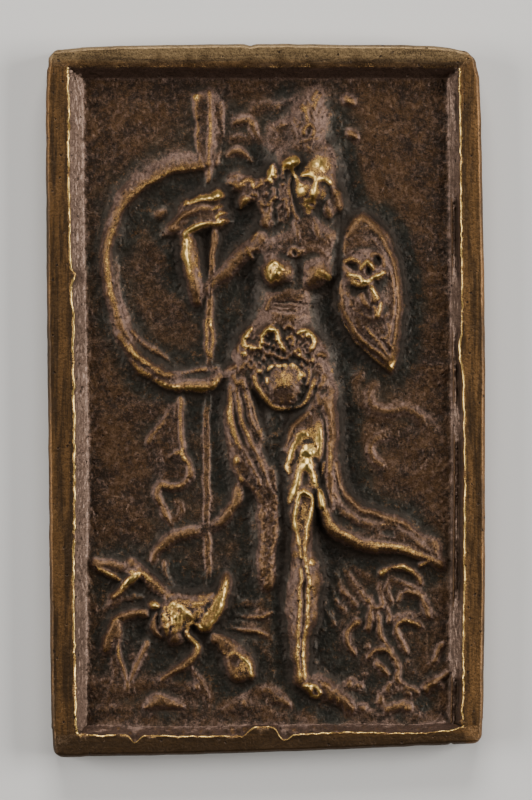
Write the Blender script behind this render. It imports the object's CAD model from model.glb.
"""A small bronze relief plaquette, cast in one piece with its border, lying on its back.

Metres, with +X to the right of the picture, +Y to its top and +Z out of its face. The sizes below are in
millimetres and become metres where the mesh is made.
"""
import math

import bpy
import numpy as np
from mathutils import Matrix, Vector


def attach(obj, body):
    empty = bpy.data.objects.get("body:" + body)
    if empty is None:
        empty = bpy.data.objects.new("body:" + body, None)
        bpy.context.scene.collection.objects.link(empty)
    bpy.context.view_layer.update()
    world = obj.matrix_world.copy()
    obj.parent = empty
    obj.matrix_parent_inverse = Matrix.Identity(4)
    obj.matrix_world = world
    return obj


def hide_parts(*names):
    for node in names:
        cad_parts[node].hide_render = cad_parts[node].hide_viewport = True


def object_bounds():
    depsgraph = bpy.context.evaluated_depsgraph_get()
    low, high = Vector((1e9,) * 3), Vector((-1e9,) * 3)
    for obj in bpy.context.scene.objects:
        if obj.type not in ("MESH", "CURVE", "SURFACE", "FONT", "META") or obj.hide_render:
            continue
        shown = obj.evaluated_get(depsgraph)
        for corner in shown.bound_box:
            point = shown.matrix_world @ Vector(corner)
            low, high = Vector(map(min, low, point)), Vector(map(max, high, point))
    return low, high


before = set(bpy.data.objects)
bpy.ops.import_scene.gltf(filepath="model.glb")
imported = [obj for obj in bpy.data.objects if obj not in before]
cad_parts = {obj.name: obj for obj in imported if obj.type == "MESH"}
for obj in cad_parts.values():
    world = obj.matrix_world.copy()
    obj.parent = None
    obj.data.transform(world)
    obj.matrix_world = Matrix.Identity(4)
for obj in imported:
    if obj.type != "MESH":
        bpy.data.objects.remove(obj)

cad_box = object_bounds()
MM = 0.001


# The blank: a bronze plate with a raised border, cast in one with the relief.
# Its four edges were filed by hand, so each runs a little bowed and the corners are unevenly rounded.
# Everything on its face is a height over one net of lines, laid out here.

HALF_WIDE = 22.0
HALF_TALL = 35.6
FIELD_Z = 2.0
BORDER_Z = 3.9
EDGE_DROP = 0.4
EDGE_ROUND = 0.4
CORNER_RADIUS = 0.9
BEAD = 0.035
BEVEL_FILLET = 0.16
BEVEL_ROUGH = 0.018

# Sides hold X at even heights from bottom to top, ends hold Y at even places from left to right.
OUTER = {
    "left": (-21.2, -21.5, -21.65, -21.75, -21.9, -22.0, -22.0, -21.65),
    "right": (21.65, 21.85, 22.0, 22.0, 22.0, 21.8, 21.5, 20.85),
    "bottom": (-35.75, -35.6, -35.45, -35.2, -34.9, -34.55, -34.3),
    "top": (35.0, 35.45, 35.6, 35.7, 35.6, 35.5, 34.8),
}
LIP = {
    "left": (-18.6, -19.0, -19.2, -19.1, -19.3, -19.65, -19.75, -19.9),
    "right": (19.8, 19.75, 19.9, 19.95, 19.7, 19.6, 19.45, 19.4),
    "bottom": (-33.4, -33.45, -33.6, -33.5, -33.2, -33.25, -32.2),
    "top": (33.4, 33.4, 33.4, 33.4, 33.4, 33.4, 33.4),
}
FOOT = {
    "left": (-17.7, -17.9, -17.9, -17.8, -18.0, -18.2, -18.3, -18.4),
    "right": (18.3, 18.4, 18.6, 18.7, 18.6, 18.5, 18.3, 18.2),
    "bottom": (-32.6, -32.6, -32.7, -32.5, -32.4, -32.4, -31.6),
    "top": (32.3, 32.3, 32.3, 32.3, 32.3, 32.3, 32.3),
}

# Nicks in the lip and the outer edge: the place along the side, half width, size and squareness of each.
LIP_NICKS = {
    "left": ((10.4, 0.45, 0.5), (6.5, 1.2, 0.15)),
    "right": ((4.0, 1.1, -0.35), (-28.0, 1.0, -0.2)),
    "bottom": ((-12.2, 0.45, -0.75), (-0.5, 1.4, 0.9, 6), (1.5, 0.5, -0.5)),
    "top": (),
}
OUTER_NICKS = {"left": (), "right": (), "bottom": ((17.0, 0.3, 0.14),), "top": ((-1.3, 0.35, -0.16),)}

# Lines of the net, and how many of them, counted from each side, the outer edge, lip and bevel foot take.
CELLS = 1024
ROUND_STEP = 32
LIP_STEP = 64
FOOT_STEP = 128

rng = np.random.default_rng(7)


def uneven(x, y, size, waves=28):
    """Smooth random unevenness, about -1 to 1: the mean of sine waves in random directions, whose
    lengths lie around size."""
    turn = rng.uniform(0, 2 * np.pi, waves)
    rate = 2 * np.pi / (size * rng.uniform(0.6, 1.7, waves))
    shift = rng.uniform(0, 2 * np.pi, waves)
    total = np.zeros(np.broadcast(x, y).shape)
    for a, k, s in zip(turn, rate, shift):
        total += np.sin(k * (np.cos(a) * x + np.sin(a) * y) + s)
    return total * 1.4 / np.sqrt(waves)


def eased(values, t):
    """A smooth curve through evenly spaced values, read at t from 0 to 1: a Catmull-Rom cubic."""
    v = np.array(values, float)
    v = np.concatenate([[2 * v[0] - v[1]], v, [2 * v[-1] - v[-2]]])
    at = np.clip(t, 0, 1) * (len(values) - 1)
    i = np.minimum(at.astype(int), len(values) - 2)
    f = at - i
    a, b, c, d = v[i], v[i + 1], v[i + 2], v[i + 3]
    return 0.5 * (2 * b + (c - a) * f + (2 * a - 5 * b + 4 * c - d) * f**2 + (3 * b - 3 * c + d - a) * f**3)


def dent(at, middle, half, size, power=2):
    """A smooth local step of size, half wide, around middle; a higher power makes it squarer."""
    return size * np.exp(-np.abs((at - middle) / half) ** power)


def nicked(line, at, nicks):
    """A line along a side with its nicks added, one after another."""
    for nick in nicks:
        line = line + dent(at, *nick)
    return line


def across(low, high):
    """Where each line of the net runs between two opposite edges, for every place along them: straight
    between the outer edge, the end of its rounding, the lip and the bevel's foot."""
    t = np.linspace(0, 1, CELLS + 1)
    on_sides = low == "left"
    at = (2 * t - 1) * (HALF_TALL if on_sides else HALF_WIDE)
    wobble = 0.025 * uneven(at, 3.0 * on_sides, 2.2) + 0.03 * uneven(at, 5.0 * on_sides, 0.7)
    lip_low = nicked(eased(LIP[low], t), at, LIP_NICKS[low]) + wobble
    lip_high = nicked(eased(LIP[high], t), at, LIP_NICKS[high]) + (1.0 if on_sides else 0.5) * wobble[::-1]
    outer_low = nicked(eased(OUTER[low], t) + 0.015 * uneven(at, 9.0, 2.5), at, OUTER_NICKS[low])
    outer_high = nicked(eased(OUTER[high], t) + 0.015 * uneven(at, 5.0, 2.5), at, OUTER_NICKS[high])
    places = np.array([
        outer_low, outer_low + EDGE_ROUND, lip_low, eased(FOOT[low], t),
        eased(FOOT[high], t), lip_high, outer_high - EDGE_ROUND, outer_high,
    ])
    marks = np.array([0, ROUND_STEP, LIP_STEP, FOOT_STEP])
    marks = np.concatenate([marks, CELLS - marks[::-1]])
    step = np.arange(CELLS + 1)
    k = np.clip(np.searchsorted(marks, step), 1, 7)
    f = ((step - marks[k - 1]) / (marks[k] - marks[k - 1]))[:, None]
    return places[k - 1] * (1 - f) + places[k] * f


net_x = across("left", "right").T
net_y = across("bottom", "top")

# The corners are quarter circles: inside each corner's square, both distances shrink towards its arc.
for column in (0, -1):
    for row in (0, -1):
        cx, cy = net_x[row, column], net_y[row, column]
        p = 1 - np.sign(cx) * (cx - net_x) / CORNER_RADIUS
        q = 1 - np.sign(cy) * (cy - net_y) / CORNER_RADIUS
        near = (p > 0) & (q > 0)
        pulled = p * np.sqrt(1 - np.clip(q, 0, 1) ** 2 / 2)
        lifted = q * np.sqrt(1 - np.clip(p, 0, 1) ** 2 / 2)
        net_x = np.where(near, cx - np.sign(cx) * CORNER_RADIUS * (1 - pulled), net_x)
        net_y = np.where(near, cy - np.sign(cy) * CORNER_RADIUS * (1 - lifted), net_y)

centre_x = (net_x.min() + net_x.max()) / 2
centre_y = (net_y.min() + net_y.max()) / 2

lines = np.arange(CELLS + 1)
from_side = np.minimum(lines, CELLS - lines)
inward = np.minimum(from_side[None, :], from_side[:, None])
upright = from_side[None, :] < from_side[:, None]


# The bevel falls from 1 at the lip to 0 at its foot. On the right a groove and a thin rib run down it.
ramp = np.clip(1 - (inward - LIP_STEP) / (FOOT_STEP - LIP_STEP), None, 1)
groove = dent(ramp, 0.62, 0.2, 0.65) - dent(ramp, 0.2, 0.07, 0.25)
groove *= (upright & (net_x > 0)) * np.clip(0.75 + 0.8 * uneven(net_x, net_y, 8.0), 0, 1)


def border_height():
    """Rounded over at the outer edge, nearly flat to a low bead at the lip, then a rough bevel that eases
    into the field: the sum of the ramp and its distance from zero."""
    over = np.clip(1 - inward / ROUND_STEP, 0, 1)
    low_end = np.clip((from_side[None, :] - from_side[:, None]) / 60, 0, 1) * (net_y < 0)
    fillet = BEVEL_FILLET + 0.4 * low_end
    ease = (ramp + np.hypot(ramp, fillet)) / (1 + np.hypot(1, fillet))
    bead = BEAD * np.exp(-(((inward - LIP_STEP) / 5.0) ** 2))
    along_side = np.where(upright, uneven(net_x, 0.5 * net_y, 0.25), uneven(0.5 * net_x, net_y, 0.25))
    rough = BEVEL_ROUGH * along_side + 0.08 * low_end * uneven(net_x, net_y, 1.1)
    rough = rough * np.clip(4 * ramp * (1 - ramp), 0, 1)
    return FIELD_Z + (BORDER_Z - FIELD_Z) * ease + bead + rough - groove - EDGE_DROP * over**2


# Lays out forms of the relief. A form is a part of the net with a height at each of its points.
def curve(*numbers, steps=10):
    """A smooth path through points, given as x and y in turn: Catmull-Rom cubics."""
    p = np.array(numbers, float).reshape(-1, 2)
    p = np.vstack([2 * p[0] - p[1], p, 2 * p[-1] - p[-2]])
    t = np.linspace(0, 1, steps, endpoint=False)[:, None]
    spans = [
        0.5 * (2 * b + (c - a) * t + (2 * a - 5 * b + 4 * c - d) * t**2 + (3 * b - 3 * c + d - a) * t**3)
        for a, b, c, d in zip(p[:-3], p[1:-2], p[2:-1], p[3:])
    ]
    return np.vstack(spans + [p[-2:-1]])


def arc(cx, cy, rx, ry, start, stop, steps=40):
    """Part of an ellipse, from one angle to another in degrees."""
    a = np.radians(np.linspace(start, stop, steps))
    return np.column_stack([cx + rx * np.cos(a), cy + ry * np.sin(a)])


def along(values, count):
    """Values spread evenly over count places; one number stands for a constant."""
    v = np.atleast_1d(np.array(values, float))
    return np.interp(np.linspace(0, 1, count), np.linspace(0, 1, len(v)), v)


SKIRT = 1.45


def rounded(near, power):
    """A form's height over its squared distance from its middle, both in shares: a bell whose skirt
    reaches SKIRT times the half width, or with a power a fuller dome that ends at the half width."""
    if power is None:
        return np.clip(1 - near / SKIRT**2, 0, 1) ** 2
    return np.clip(1 - near, 0, 1) ** power


class Relief:
    """Heights above the field over the net, and how bright each place is rubbed, from 0 to 1."""

    def __init__(self, x, y):
        self.x, self.y = x, y
        self.z = np.zeros_like(x)
        self.bright = np.zeros_like(x)

    def window(self, x0, x1, y0, y1):
        """The rows and columns of the net that reach into a rectangle."""
        cols = np.where((self.x.max(0) >= x0) & (self.x.min(0) <= x1))[0]
        rows = np.where((self.y.max(1) >= y0) & (self.y.min(1) <= y1))[0]
        return slice(rows[0], rows[-1] + 1), slice(cols[0], cols[-1] + 1)

    def ridge(self, path, half, high, power=None, right=None):
        """A ridge along a path, its half width taken separately on the path's left and right."""
        count = len(path)
        wide = SKIRT if power is None else 1
        left_w = along(half, count)
        right_w = along(half if right is None else right, count)
        tall = along(high, count)
        reach = wide * max(left_w.max(), right_w.max())
        low, top = path.min(0) - reach, path.max(0) + reach
        whole = self.window(low[0], top[0], low[1], top[1])
        part = Relief(self.x[whole], self.y[whole])
        for i in range(count - 1):
            a, b = path[i], path[i + 1]
            w = wide * max(left_w[i], left_w[i + 1], right_w[i], right_w[i + 1])
            low, top = np.minimum(a, b) - w, np.maximum(a, b) + w
            box = part.window(low[0], top[0], low[1], top[1])
            dx, dy = part.x[box] - a[0], part.y[box] - a[1]
            ex, ey = b - a
            t = np.clip((dx * ex + dy * ey) / max(ex * ex + ey * ey, 1e-12), 0, 1)
            ox, oy = dx - t * ex, dy - t * ey
            on_left = ex * oy - ey * ox > 0
            left_now = left_w[i] + (left_w[i + 1] - left_w[i]) * t
            right_now = right_w[i] + (right_w[i + 1] - right_w[i]) * t
            width = np.where(on_left, left_now, right_now)
            h = (tall[i] + (tall[i + 1] - tall[i]) * t) * rounded((ox * ox + oy * oy) / width**2, power)
            part.z[box] = np.where(np.abs(h) > np.abs(part.z[box]), h, part.z[box])
        return whole, part.z

    def mound(self, cx, cy, rx, ry, high, power=None, tilt=0):
        """A dome over an ellipse turned by tilt degrees."""
        r = max(rx, ry) * (SKIRT if power is None else 1)
        box = self.window(cx - r, cx + r, cy - r, cy + r)
        c, s = math.cos(math.radians(tilt)), math.sin(math.radians(tilt))
        dx, dy = self.x[box] - cx, self.y[box] - cy
        u, v = (c * dx + s * dy) / rx, (c * dy - s * dx) / ry
        return box, high * rounded(u * u + v * v, power)

    def plate(self, outline, edge, high, power=1.0):
        """A flat form inside a closed outline. Its border rises like a sine squared to a power, from just
        outside the outline to the width edge inside it."""
        low, top = outline.min(0) - edge, outline.max(0) + edge
        box = self.window(low[0], top[0], low[1], top[1])
        x, y = self.x[box], self.y[box]
        inside = np.zeros(x.shape, bool)
        near = np.full(x.shape, 1e9)
        for a, b in zip(outline, np.roll(outline, -1, 0)):
            ex, ey = b - a
            crosses = (a[1] > y) != (b[1] > y)
            inside ^= crosses & (x < a[0] + (y - a[1]) * ex / (ey if ey else 1))
            t = np.clip(((x - a[0]) * ex + (y - a[1]) * ey) / max(ex * ex + ey * ey, 1e-12), 0, 1)
            near = np.minimum(near, np.hypot(x - a[0] - t * ex, y - a[1] - t * ey))
        signed = np.where(inside, near, -near)
        rise = np.clip((signed + 0.35 * edge) / (1.35 * edge), 0, 1)
        return box, high * np.sin(0.5 * np.pi * rise) ** (2 * power)

    def rough(self, x0, x1, y0, y1, size, high):
        """Smooth unevenness over a rectangle, faded out towards its sides."""
        box = self.window(x0, x1, y0, y1)
        x, y = self.x[box], self.y[box]
        edge = np.minimum(np.minimum(x - x0, x1 - x), np.minimum(y - y0, y1 - y))
        return box, high * np.clip(edge, 0, 1) * uneven(x, y, size)

    def over(self, form, soft=0.3, bright=0.0):
        """Lays a form over what is there, with a fillet of about soft where they meet."""
        box, h = form
        below = self.z[box]
        gap = np.clip(soft - np.abs(below - h), 0, None)
        joined = np.maximum(below, h) + gap * gap / (4 * soft)
        crest = np.clip(h / max(h.max(), 1e-9), 0, 1) ** 3
        self.bright[box] = np.where(h > below + 0.02, bright * crest, self.bright[box])
        self.z[box] = np.where(h > 0, joined, below)

    def add(self, form, bright=0.0):
        """Adds a form on top of what is there; a negative height cuts it in, and takes brightness away."""
        box, h = form
        crest = np.clip(np.abs(h) / max(np.abs(h).max(), 1e-9), 0, 1)
        if h.max() <= 0:
            self.bright[box] *= 1 - crest
        else:
            self.bright[box] = np.maximum(self.bright[box], bright * crest**0.8)
        self.z[box] += h

    def rub(self, form):
        """Rubs a place bright without changing its height."""
        box, h = form
        self.bright[box] = np.maximum(self.bright[box], h)


# Wax worked by hand has no true line, so the net is bent a little where the forms are laid out on it, and
# less around the head. Each bend has its length and its size.
BENDS = ((3.0, 0.06), (0.8, 0.015))
warp = [sum(size * uneven(net_x, net_y, length) for length, size in BENDS) for _ in "xy"]
calm = 1 - 0.8 * np.exp(-((net_x - 4.6) ** 2 + (net_y - 21.7) ** 2) / 9)
relief = Relief(net_x + calm * warp[0], net_y + calm * warp[1])


def path_of(numbers):
    """One made path as it is, or a curve through places given as x and y in turn."""
    return numbers[0] if len(numbers) == 1 else curve(*numbers)


def lay(half, high, bright, *path, soft=0.3, power=None, right=None):
    """Lays a ridge over what is there. Its path is given as x and y in turn, or as one made path; several
    half widths or heights are spread evenly along it."""
    relief.over(relief.ridge(path_of(path), half, high, power, right), soft, bright)


def chase(half, high, bright, *path):
    """Adds a ridge on top of what is there, or cuts it in where its height is negative."""
    relief.add(relief.ridge(path_of(path), half, high), bright)


def gild(half, bright, *path, right=None):
    """Rubs a path bright."""
    relief.rub(relief.ridge(path_of(path), half, bright, right=right))


def knob(x, y, rx, ry, high, bright=0.0, tilt=0, power=None):
    """Adds a dome, or sinks it in where its height is negative."""
    relief.add(relief.mound(x, y, rx, ry, high, power, tilt), bright)


def lump(x, y, rx, ry, high, bright, tilt=0, power=None, soft=0.3):
    """Lays a dome over what is there."""
    relief.over(relief.mound(x, y, rx, ry, high, power, tilt), soft, bright)


def polish(x, y, rx, ry, bright, tilt=0, power=None):
    """Rubs an oval place bright."""
    relief.rub(relief.mound(x, y, rx, ry, bright, power, tilt))


def pebble(x0, x1, y0, y1, size, high):
    """Makes a rectangle of the relief uneven."""
    relief.add(relief.rough(x0, x1, y0, y1, size, high))


def mass(edge, high, *outline, power=1.0, bright=0.0):
    """Lays a flat form with rounded borders over what is there."""
    relief.over(relief.plate(curve(*outline), edge, high, power), bright=bright)


# Low work on the field: clouds, the crest's ends, the great scarf, the ribbons and the streaming drapery.
# In the real one these were modelled in the wax, stand a millimetre or so high and are soft at their edges.

pebble(-18.5, 19, -33, 33, 4, 0.05)
lay((0.5, 0.7, 0.5), (0.14, 0.28, 0.14), 0, 11.2, 3.2, 10, 3.1, 9.1, 2.1, 8.8, 0.8, 9.3, -0.4)
lay(
    (0.45, 0.6, 0.45), (0.25, 0.38, 0.38, 0.35), 0, 11, 1.7, 10.3, 0.9, 10.5, -0.1, 11.4, -0.9, 12.8, -1.1,
    14.3, -0.95, 15.9, -1.6,
)
lay((0.5, 0.7, 0.5), (0.14, 0.24, 0.14), 0, 15.4, -1.9, 16.6, -3, 17.5, -4.6)
lay((0.4, 0.5, 0.4), (0.14, 0.34, 0.34, 0.3), 0, 12.1, -3.4, 11.1, -3.9, 10.6, -4.8, 10.8, -5.8, 11.6, -6.5)
lay((0.5, 0.7, 0.5), (0.12, 0.22, 0.12), 0, 14.6, -3.4, 16, -4.4, 16.6, -6, 16.2, -7.4)
for x, y, tilt in ((8.5, 30.1, -25), (8.6, 26.6, -42)):
    lump(x, y, 0.75, 0.45, 0.6, 0.3, tilt)
    knob(x - 0.15, y - 0.75, 0.5, 0.4, -0.15, 0, tilt)
lump(-10.4, 18.8, 0.9, 0.5, 0.35, 0.15, 10)

# Ends of the helmet's crest
lay(
    (0.35, 0.5, 0.35), (0.3, 0.5, 0.3), 0.15, -3.2, 27.9, -2.4, 28, -1.5, 28, -1.3, 27.2, -0.9, 26.3,
    -0.2, 25.9,
)
lay((0.35, 0.5, 0.35), (0.3, 0.5, 0.3), 0.15, -3.8, 24.6, -3, 25, -2.3, 24.8, -1.7, 24.1)
lay(0.4, (0.2, 0.3, 0.2), 0, -3.4, 26.2, -2.5, 26.4, -1.6, 26)
lay(0.5, 0.2, 0, -1, 29.2, 0.2, 29.6, 1.2, 29.3)
knob(-1.9, 27.3, 0.6, 0.35, -0.12)
knob(-2.9, 24, 0.8, 0.4, -0.12)

# The scarf billows in one great arc, its crest close to the inner edge, and is twisted like rope below.
scarf = curve(
    -6.2, 23.5, -7.3, 23.4, -9.2, 23, -11.1, 22.2, -13, 21, -14.3, 19.4, -15.25, 17.5, -15.8, 15,
    -15.75, 12.9, -15.5, 10.8, -14.95, 9, -14.3, 7.2, -13.4, 5.4,
)
lay(
    (0.42, 0.42, 0.45, 0.5, 0.6), (0.75, 0.9, 1, 0.95, 0.7), 0.1, scarf,
    right=(1.75, 1.6, 1.3, 0.95, 0.8, 0.8, 0.9),
)
gild(0.2, (0.1, 0.4, 0.4, 0.2, 0.35, 0.5, 0.3, 0.1), scarf, right=0.35)
lay(0.3, (0, 0, 0, 0.1, 0.25, 0.4, 0.4, 0.3), 0, scarf + (0.75, -0.1))
lay(
    (0.7, 1, 1, 0.9, 0.8, 0.6), (0.5, 0.75, 0.85, 0.9, 1, 0.8), 0, -14.7, 8.6, -14.3, 6.6, -13.4, 4.9,
    -12, 3.4, -10.2, 2.3, -8, 1.7, -5.8, 1.9, -4.4, 2.6,
)
chase(
    (0.2, 0.32, 0.3, 0.25), (0.2, 0.4, 0.4, 0.2), 0.2, -13.5, 7, -12.6, 6.1, -11.4, 5.2, -10.2, 4.2,
    -9, 3.3,
)
chase((0.25, 0.35, 0.25), (0.2, 0.4, 0.2), 0.35, -14.6, 6.4, -14, 5.2, -13.2, 4.4)
chase((0.25, 0.38, 0.25), (0.2, 0.45, 0.2), 0.5, -13.6, 5.4, -12.8, 4.4, -11.7, 3.7)
chase((0.25, 0.38, 0.3), (0.2, 0.45, 0.3), 0.5, -13.4, 3.9, -12.6, 3, -11.6, 2.4)
chase((0.25, 0.35, 0.25), (0.2, 0.4, 0.2), 0.4, -11.6, 3.6, -10.6, 2.8, -9.6, 2.5)
chase((0.3, 0.42, 0.35), (0.3, 0.45, 0.4), 0.6, -11.2, 2, -10, 1.4, -8.8, 1.2)
chase(
    (0.35, 0.5, 0.5, 0.3), (0.3, 0.5, 0.6, 0.2), 0.65, -8.9, 1.3, -7.6, 1, -6.4, 1.1, -5.2, 1.5, -4.4, 2.3,
)
chase(0.3, (0.2, 0.4, 0.45, 0.2), 0.3, -9.6, 2.6, -8.2, 2.9, -6.6, 3, -5, 3.2, -4, 3.4)
chase(0.2, -0.2, 0, -9.4, 2.1, -7.8, 2.1, -6.2, 2.2)

# A thin cloth hangs in folds from its lower end.
mass(
    0.8, 0.3, -8.4, 0.4, -8.3, -5.2, -7.6, -6.4, -7.5, -7.6, -8.6, -8.2, -9.8, -8.4, -10.8, -8.2,
    -10.9, -6.4, -10.9, -5, -11.9, -4.2, -10.2, -1.8, -9.2, 0.2,
)
lay(0.32, 0.6, 0.3, -8.6, 0.3, -8.55, -3, -8.35, -5.4, -7.75, -6.4, -7.45, -7.5)
lay(
    (0.3, 0.45, 0.45, 0.35), (0.5, 0.6, 0.6, 0.5), 0.2, -7.5, -7.2, -8.2, -8.3, -9.4, -8.7, -10.6, -8.6,
    -11, -9.4, -10.8, -10.2,
)
lay(0.3, (0.3, 0.5, 0.45), 0.15, -9.6, -0.8, -10.6, -2.6, -11.8, -4.1)
lay(0.28, (0.4, 0.4, 0.3), 0.1, -9.1, -0.6, -9.2, -3, -9, -5)
lay((0.2, 0.35, 0.35), (0.3, 0.7, 0.65), 0.55, -9.8, -5.8, -9, -5.4, -8.5, -5.3, -8.1, -6)
lay((0.35, 0.4, 0.14), (0.5, 0.5, 0.2), 0.15, -10.9, -9.8, -10.3, -10.8, -9.7, -11.9, -9.2, -13)
lay(0.28, 0.22, 0, -8.9, -10, -8.5, -10.9, -9, -12)

# A ribbon leaves the skirt and passes behind the lance.
lay(
    (0.7, 0.75, 0.7, 0.7, 0.7, 0.5), (0.8, 0.85, 0.65, 0.12, 0.55, 0.7, 0.6, 0.3), 0.15, -2.7, -8.8,
    -3.1, -10.4, -4.2, -11.8, -5.6, -12.8, -7.4, -13.2, -9.2, -13.7, -10.6, -14.7, -11.3, -16.2, power=0.9,
)
lay(0.3, 0.3, 0, -10.1, -16.2, -10, -17.4, -9.5, -18.6)

# The skirt's back breadth streams out to the right in folds, the lowest one thick as a rope.
mass(
    1.2, 0.9, 6.4, -4, 7.4, -7, 8, -9, 9.4, -10.6, 11.8, -11.6, 14.2, -12.4, 16.4, -13.8, 17.8, -16.2,
    14, -15.2, 10, -14.4, 7.6, -13.8, 6, -12.2, 5.6, -9,
)
lay(
    (0.5, 0.6, 0.6, 0.45), (0.9, 1.05, 1, 0.6), 0, 7.1, -6.4, 7.5, -8.4, 8.4, -10.1, 9.8, -11.1,
    11.8, -11.7, 13.8, -12.4, 15.8, -13.8,
)
chase((0.3, 0.4, 0.3), (0.1, 0.25, 0.1), 0, 7, -9.4, 7.8, -11.2, 9.2, -12, 10.8, -12.4)
hem = curve(
    5.4, -9.4, 5.8, -10.8, 6.5, -12.3, 7.6, -13.4, 9.2, -14.1, 11, -14.5, 12.8, -14.75, 14.4, -15.1,
    15.8, -15.6, 17.5, -16.4,
)
lay((0.6, 0.9, 1, 0.8, 0.5), (1.6, 1.6, 1.5, 1.3, 1.1, 0.7), 0.2, hem, right=(0.6, 0.95, 1, 0.8, 0.6))
gild(0.3, (0.1, 0.4, 0.5, 0.45, 0.6, 0.6, 0.3), hem + (0.1, 0.25), right=0.4)
chase(0.28, (0, 0.2, 0), 0, hem[20:60] + (0.3, 0.7))
lay(
    (0.3, 0.3, 0.4), (0.8, 0.95, 0.8, 0.5), 0.65, 11.35, -13.2, 11.6, -12.6, 12.3, -12.3, 13, -12.5,
    13.6, -13.1, 14.4, -13.5,
)
knob(12.4, -13.3, 0.8, 0.45, -0.25, 0, -10)
lay(0.4, 0.45, 0, 14.2, -13.1, 15, -13.8, 15.9, -13.9)
lay(0.35, 0.5, 0.1, 15.2, -13.4, 16.4, -13.9, 17.2, -14.6, 17.4, -15.6)
lay(0.3, 0.6, 0.3, 16.7, -14.4, 17.1, -15.2)
lay(0.35, 0.7, 0.45, 15.5, -16.5, 16.1, -16.3, 16.6, -15.9)
for x0, y0, x1, y1, high in (
    (7.6, -16.2, 10.2, -20.2, 0.24), (7, -17.4, 9, -20.6, 0.28), (6.6, -18.8, 8, -21.2, 0.26),
    (6.3, -20.2, 6.9, -22.6, 0.2), (8.6, -16.2, 11, -18.2, 0.2),
):
    lay(
        (0.25, 0.32, 0.25), (0.7 * high, high, 0.1), 0, x0, y0, (x0 + x1) / 2 - 0.15, (y0 + y1) / 2 - 0.15,
        x1, y1,
    )

# Plants at the lower right: a bent stem with hooked leaves, sharp along their crests.
lay((0.25, 0.4, 0.3), (0.5, 0.85, 0.5), 0.7, arc(13.4, -18.85, 2.2, 2.2, 142, 8))
knob(11.75, -17.3, 0.45, 0.35, 0.3, 0.7)
lay(
    0.42, (0.3, 0.45, 0.5, 0.4), 0, 12.8, -17.9, 13.7, -18.3, 14.9, -18.9, 15.7, -19.8, 16.2, -20.8,
    16.3, -21.6,
)
lay(
    (0.2, 0.28, 0.25), (0.3, 0.65, 0.5), 0.2, 13.3, -20.1, 13.8, -19.4, 14.4, -19.2, 15.3, -19.6,
    15.9, -20.4, 16.3, -21.4,
)
lay(0.3, 0.3, 0, 11.7, -18.4, 11.55, -19.3, 11.7, -20.4)
lay(0.3, 0.28, 0, 12.5, -17.8, 12.3, -19, 12.6, -20)
lay((0.3, 0.4, 0.3), (0.3, 0.5, 0.5), 0.1, 9.6, -19.2, 10.2, -20.2, 11, -20.9, 11.6, -20.8)
lay((0.25, 0.36, 0.28), (0.4, 0.7, 0.5), 0.35, 10.7, -20.9, 10.5, -21.9, 10.3, -22.9)
lay((0.25, 0.34, 0.28), (0.4, 0.6, 0.4), 0.05, 11.1, -20.9, 11.25, -22, 11.3, -23.1)
lay((0.2, 0.3, 0.2), (0.3, 0.5, 0.3), 0.05, 12.1, -20.9, 12.3, -21.6, 12.3, -22.3)
lump(9.2, -22.4, 0.5, 0.35, 0.7, 0.45)
lay((0.25, 0.32, 0.25), (0.6, 0.65, 0.4), 0.25, 8.9, -22.6, 8.4, -23.2, 8.25, -24, 8.5, -24.8, 8.9, -25.4)
lay(
    (0.22, 0.3, 0.3), (0.5, 0.8, 0.6), 0.65, 13.1, -23.2, 13.35, -22.45, 14, -22.1, 14.8, -22.25,
    15.4, -22.6,
)
lay(0.4, 0.3, 0, 12.9, -22, 14, -21.4, 15.4, -21.6)
lay(0.28, (0.5, 0.5, 0.2), 0.05, 13.2, -23.3, 13.6, -24, 13.95, -25)
lay(
    0.32, 0.5, 0.05, 11.3, -23, 11.8, -24.1, 12.4, -24.8, 13, -25.9, 13.35, -27, 13.2, -27.9, 14, -28.5,
    14.9, -28.9, 15.4, -29.5,
)
lay(
    (0.2, 0.32, 0.28), (0.4, 0.65, 0.45), 0.4, 10.4, -25.65, 11, -25.15, 11.8, -25.05, 12.4, -25.3,
    12.85, -25.9,
)
lay((0.25, 0.38, 0.28), (0.4, 0.65, 0.45), 0.35, 11.1, -26.4, 11.7, -26.95, 12.15, -27.6)
lay(0.28, (0.3, 0.4, 0.3), 0.05, 17.9, -24.5, 17.3, -25.2, 17, -26.1)
chase(0.35, -0.12, 0, 17.9, -25.6, 17.5, -26.6)
lay(0.32, (0.4, 0.5, 0.4), 0.1, 16, -29.4, 16.3, -28.6, 17, -28.1, 17.8, -27.7, 18.3, -27.4)
lay((0.3, 0.35, 0.3), (0.3, 0.6, 0.4), 0.2, arc(17, -29.2, 0.8, 0.9, 20, 240))
lay(0.4, 0.42, 0, 8.3, -28.2, 9.6, -28.6, 10.8, -28.9, 11.4, -29.4, 11.8, -30.1, right=1.2)
lay(0.4, 0.42, 0, 12.6, -28.6, 13.6, -28.6, 14.8, -29.3, right=1)
lay(0.5, 0.45, 0.1, 12.3, -31, 13.2, -30.6, 14.4, -30.7, 15.2, -31.1, right=1)
lay(0.5, 0.38, 0, 8.2, -31.2, 9.4, -30.8, 10.8, -31.3, right=1)
for place in (
    (9.6, -23.7), (12.2, -23.2), (14.6, -24.2), (12.2, -26.2), (14.6, -20.4), (15.6, -27.6), (10.2, -27.4),
):
    knob(*place, 0.9, 0.7, -0.06)

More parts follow.
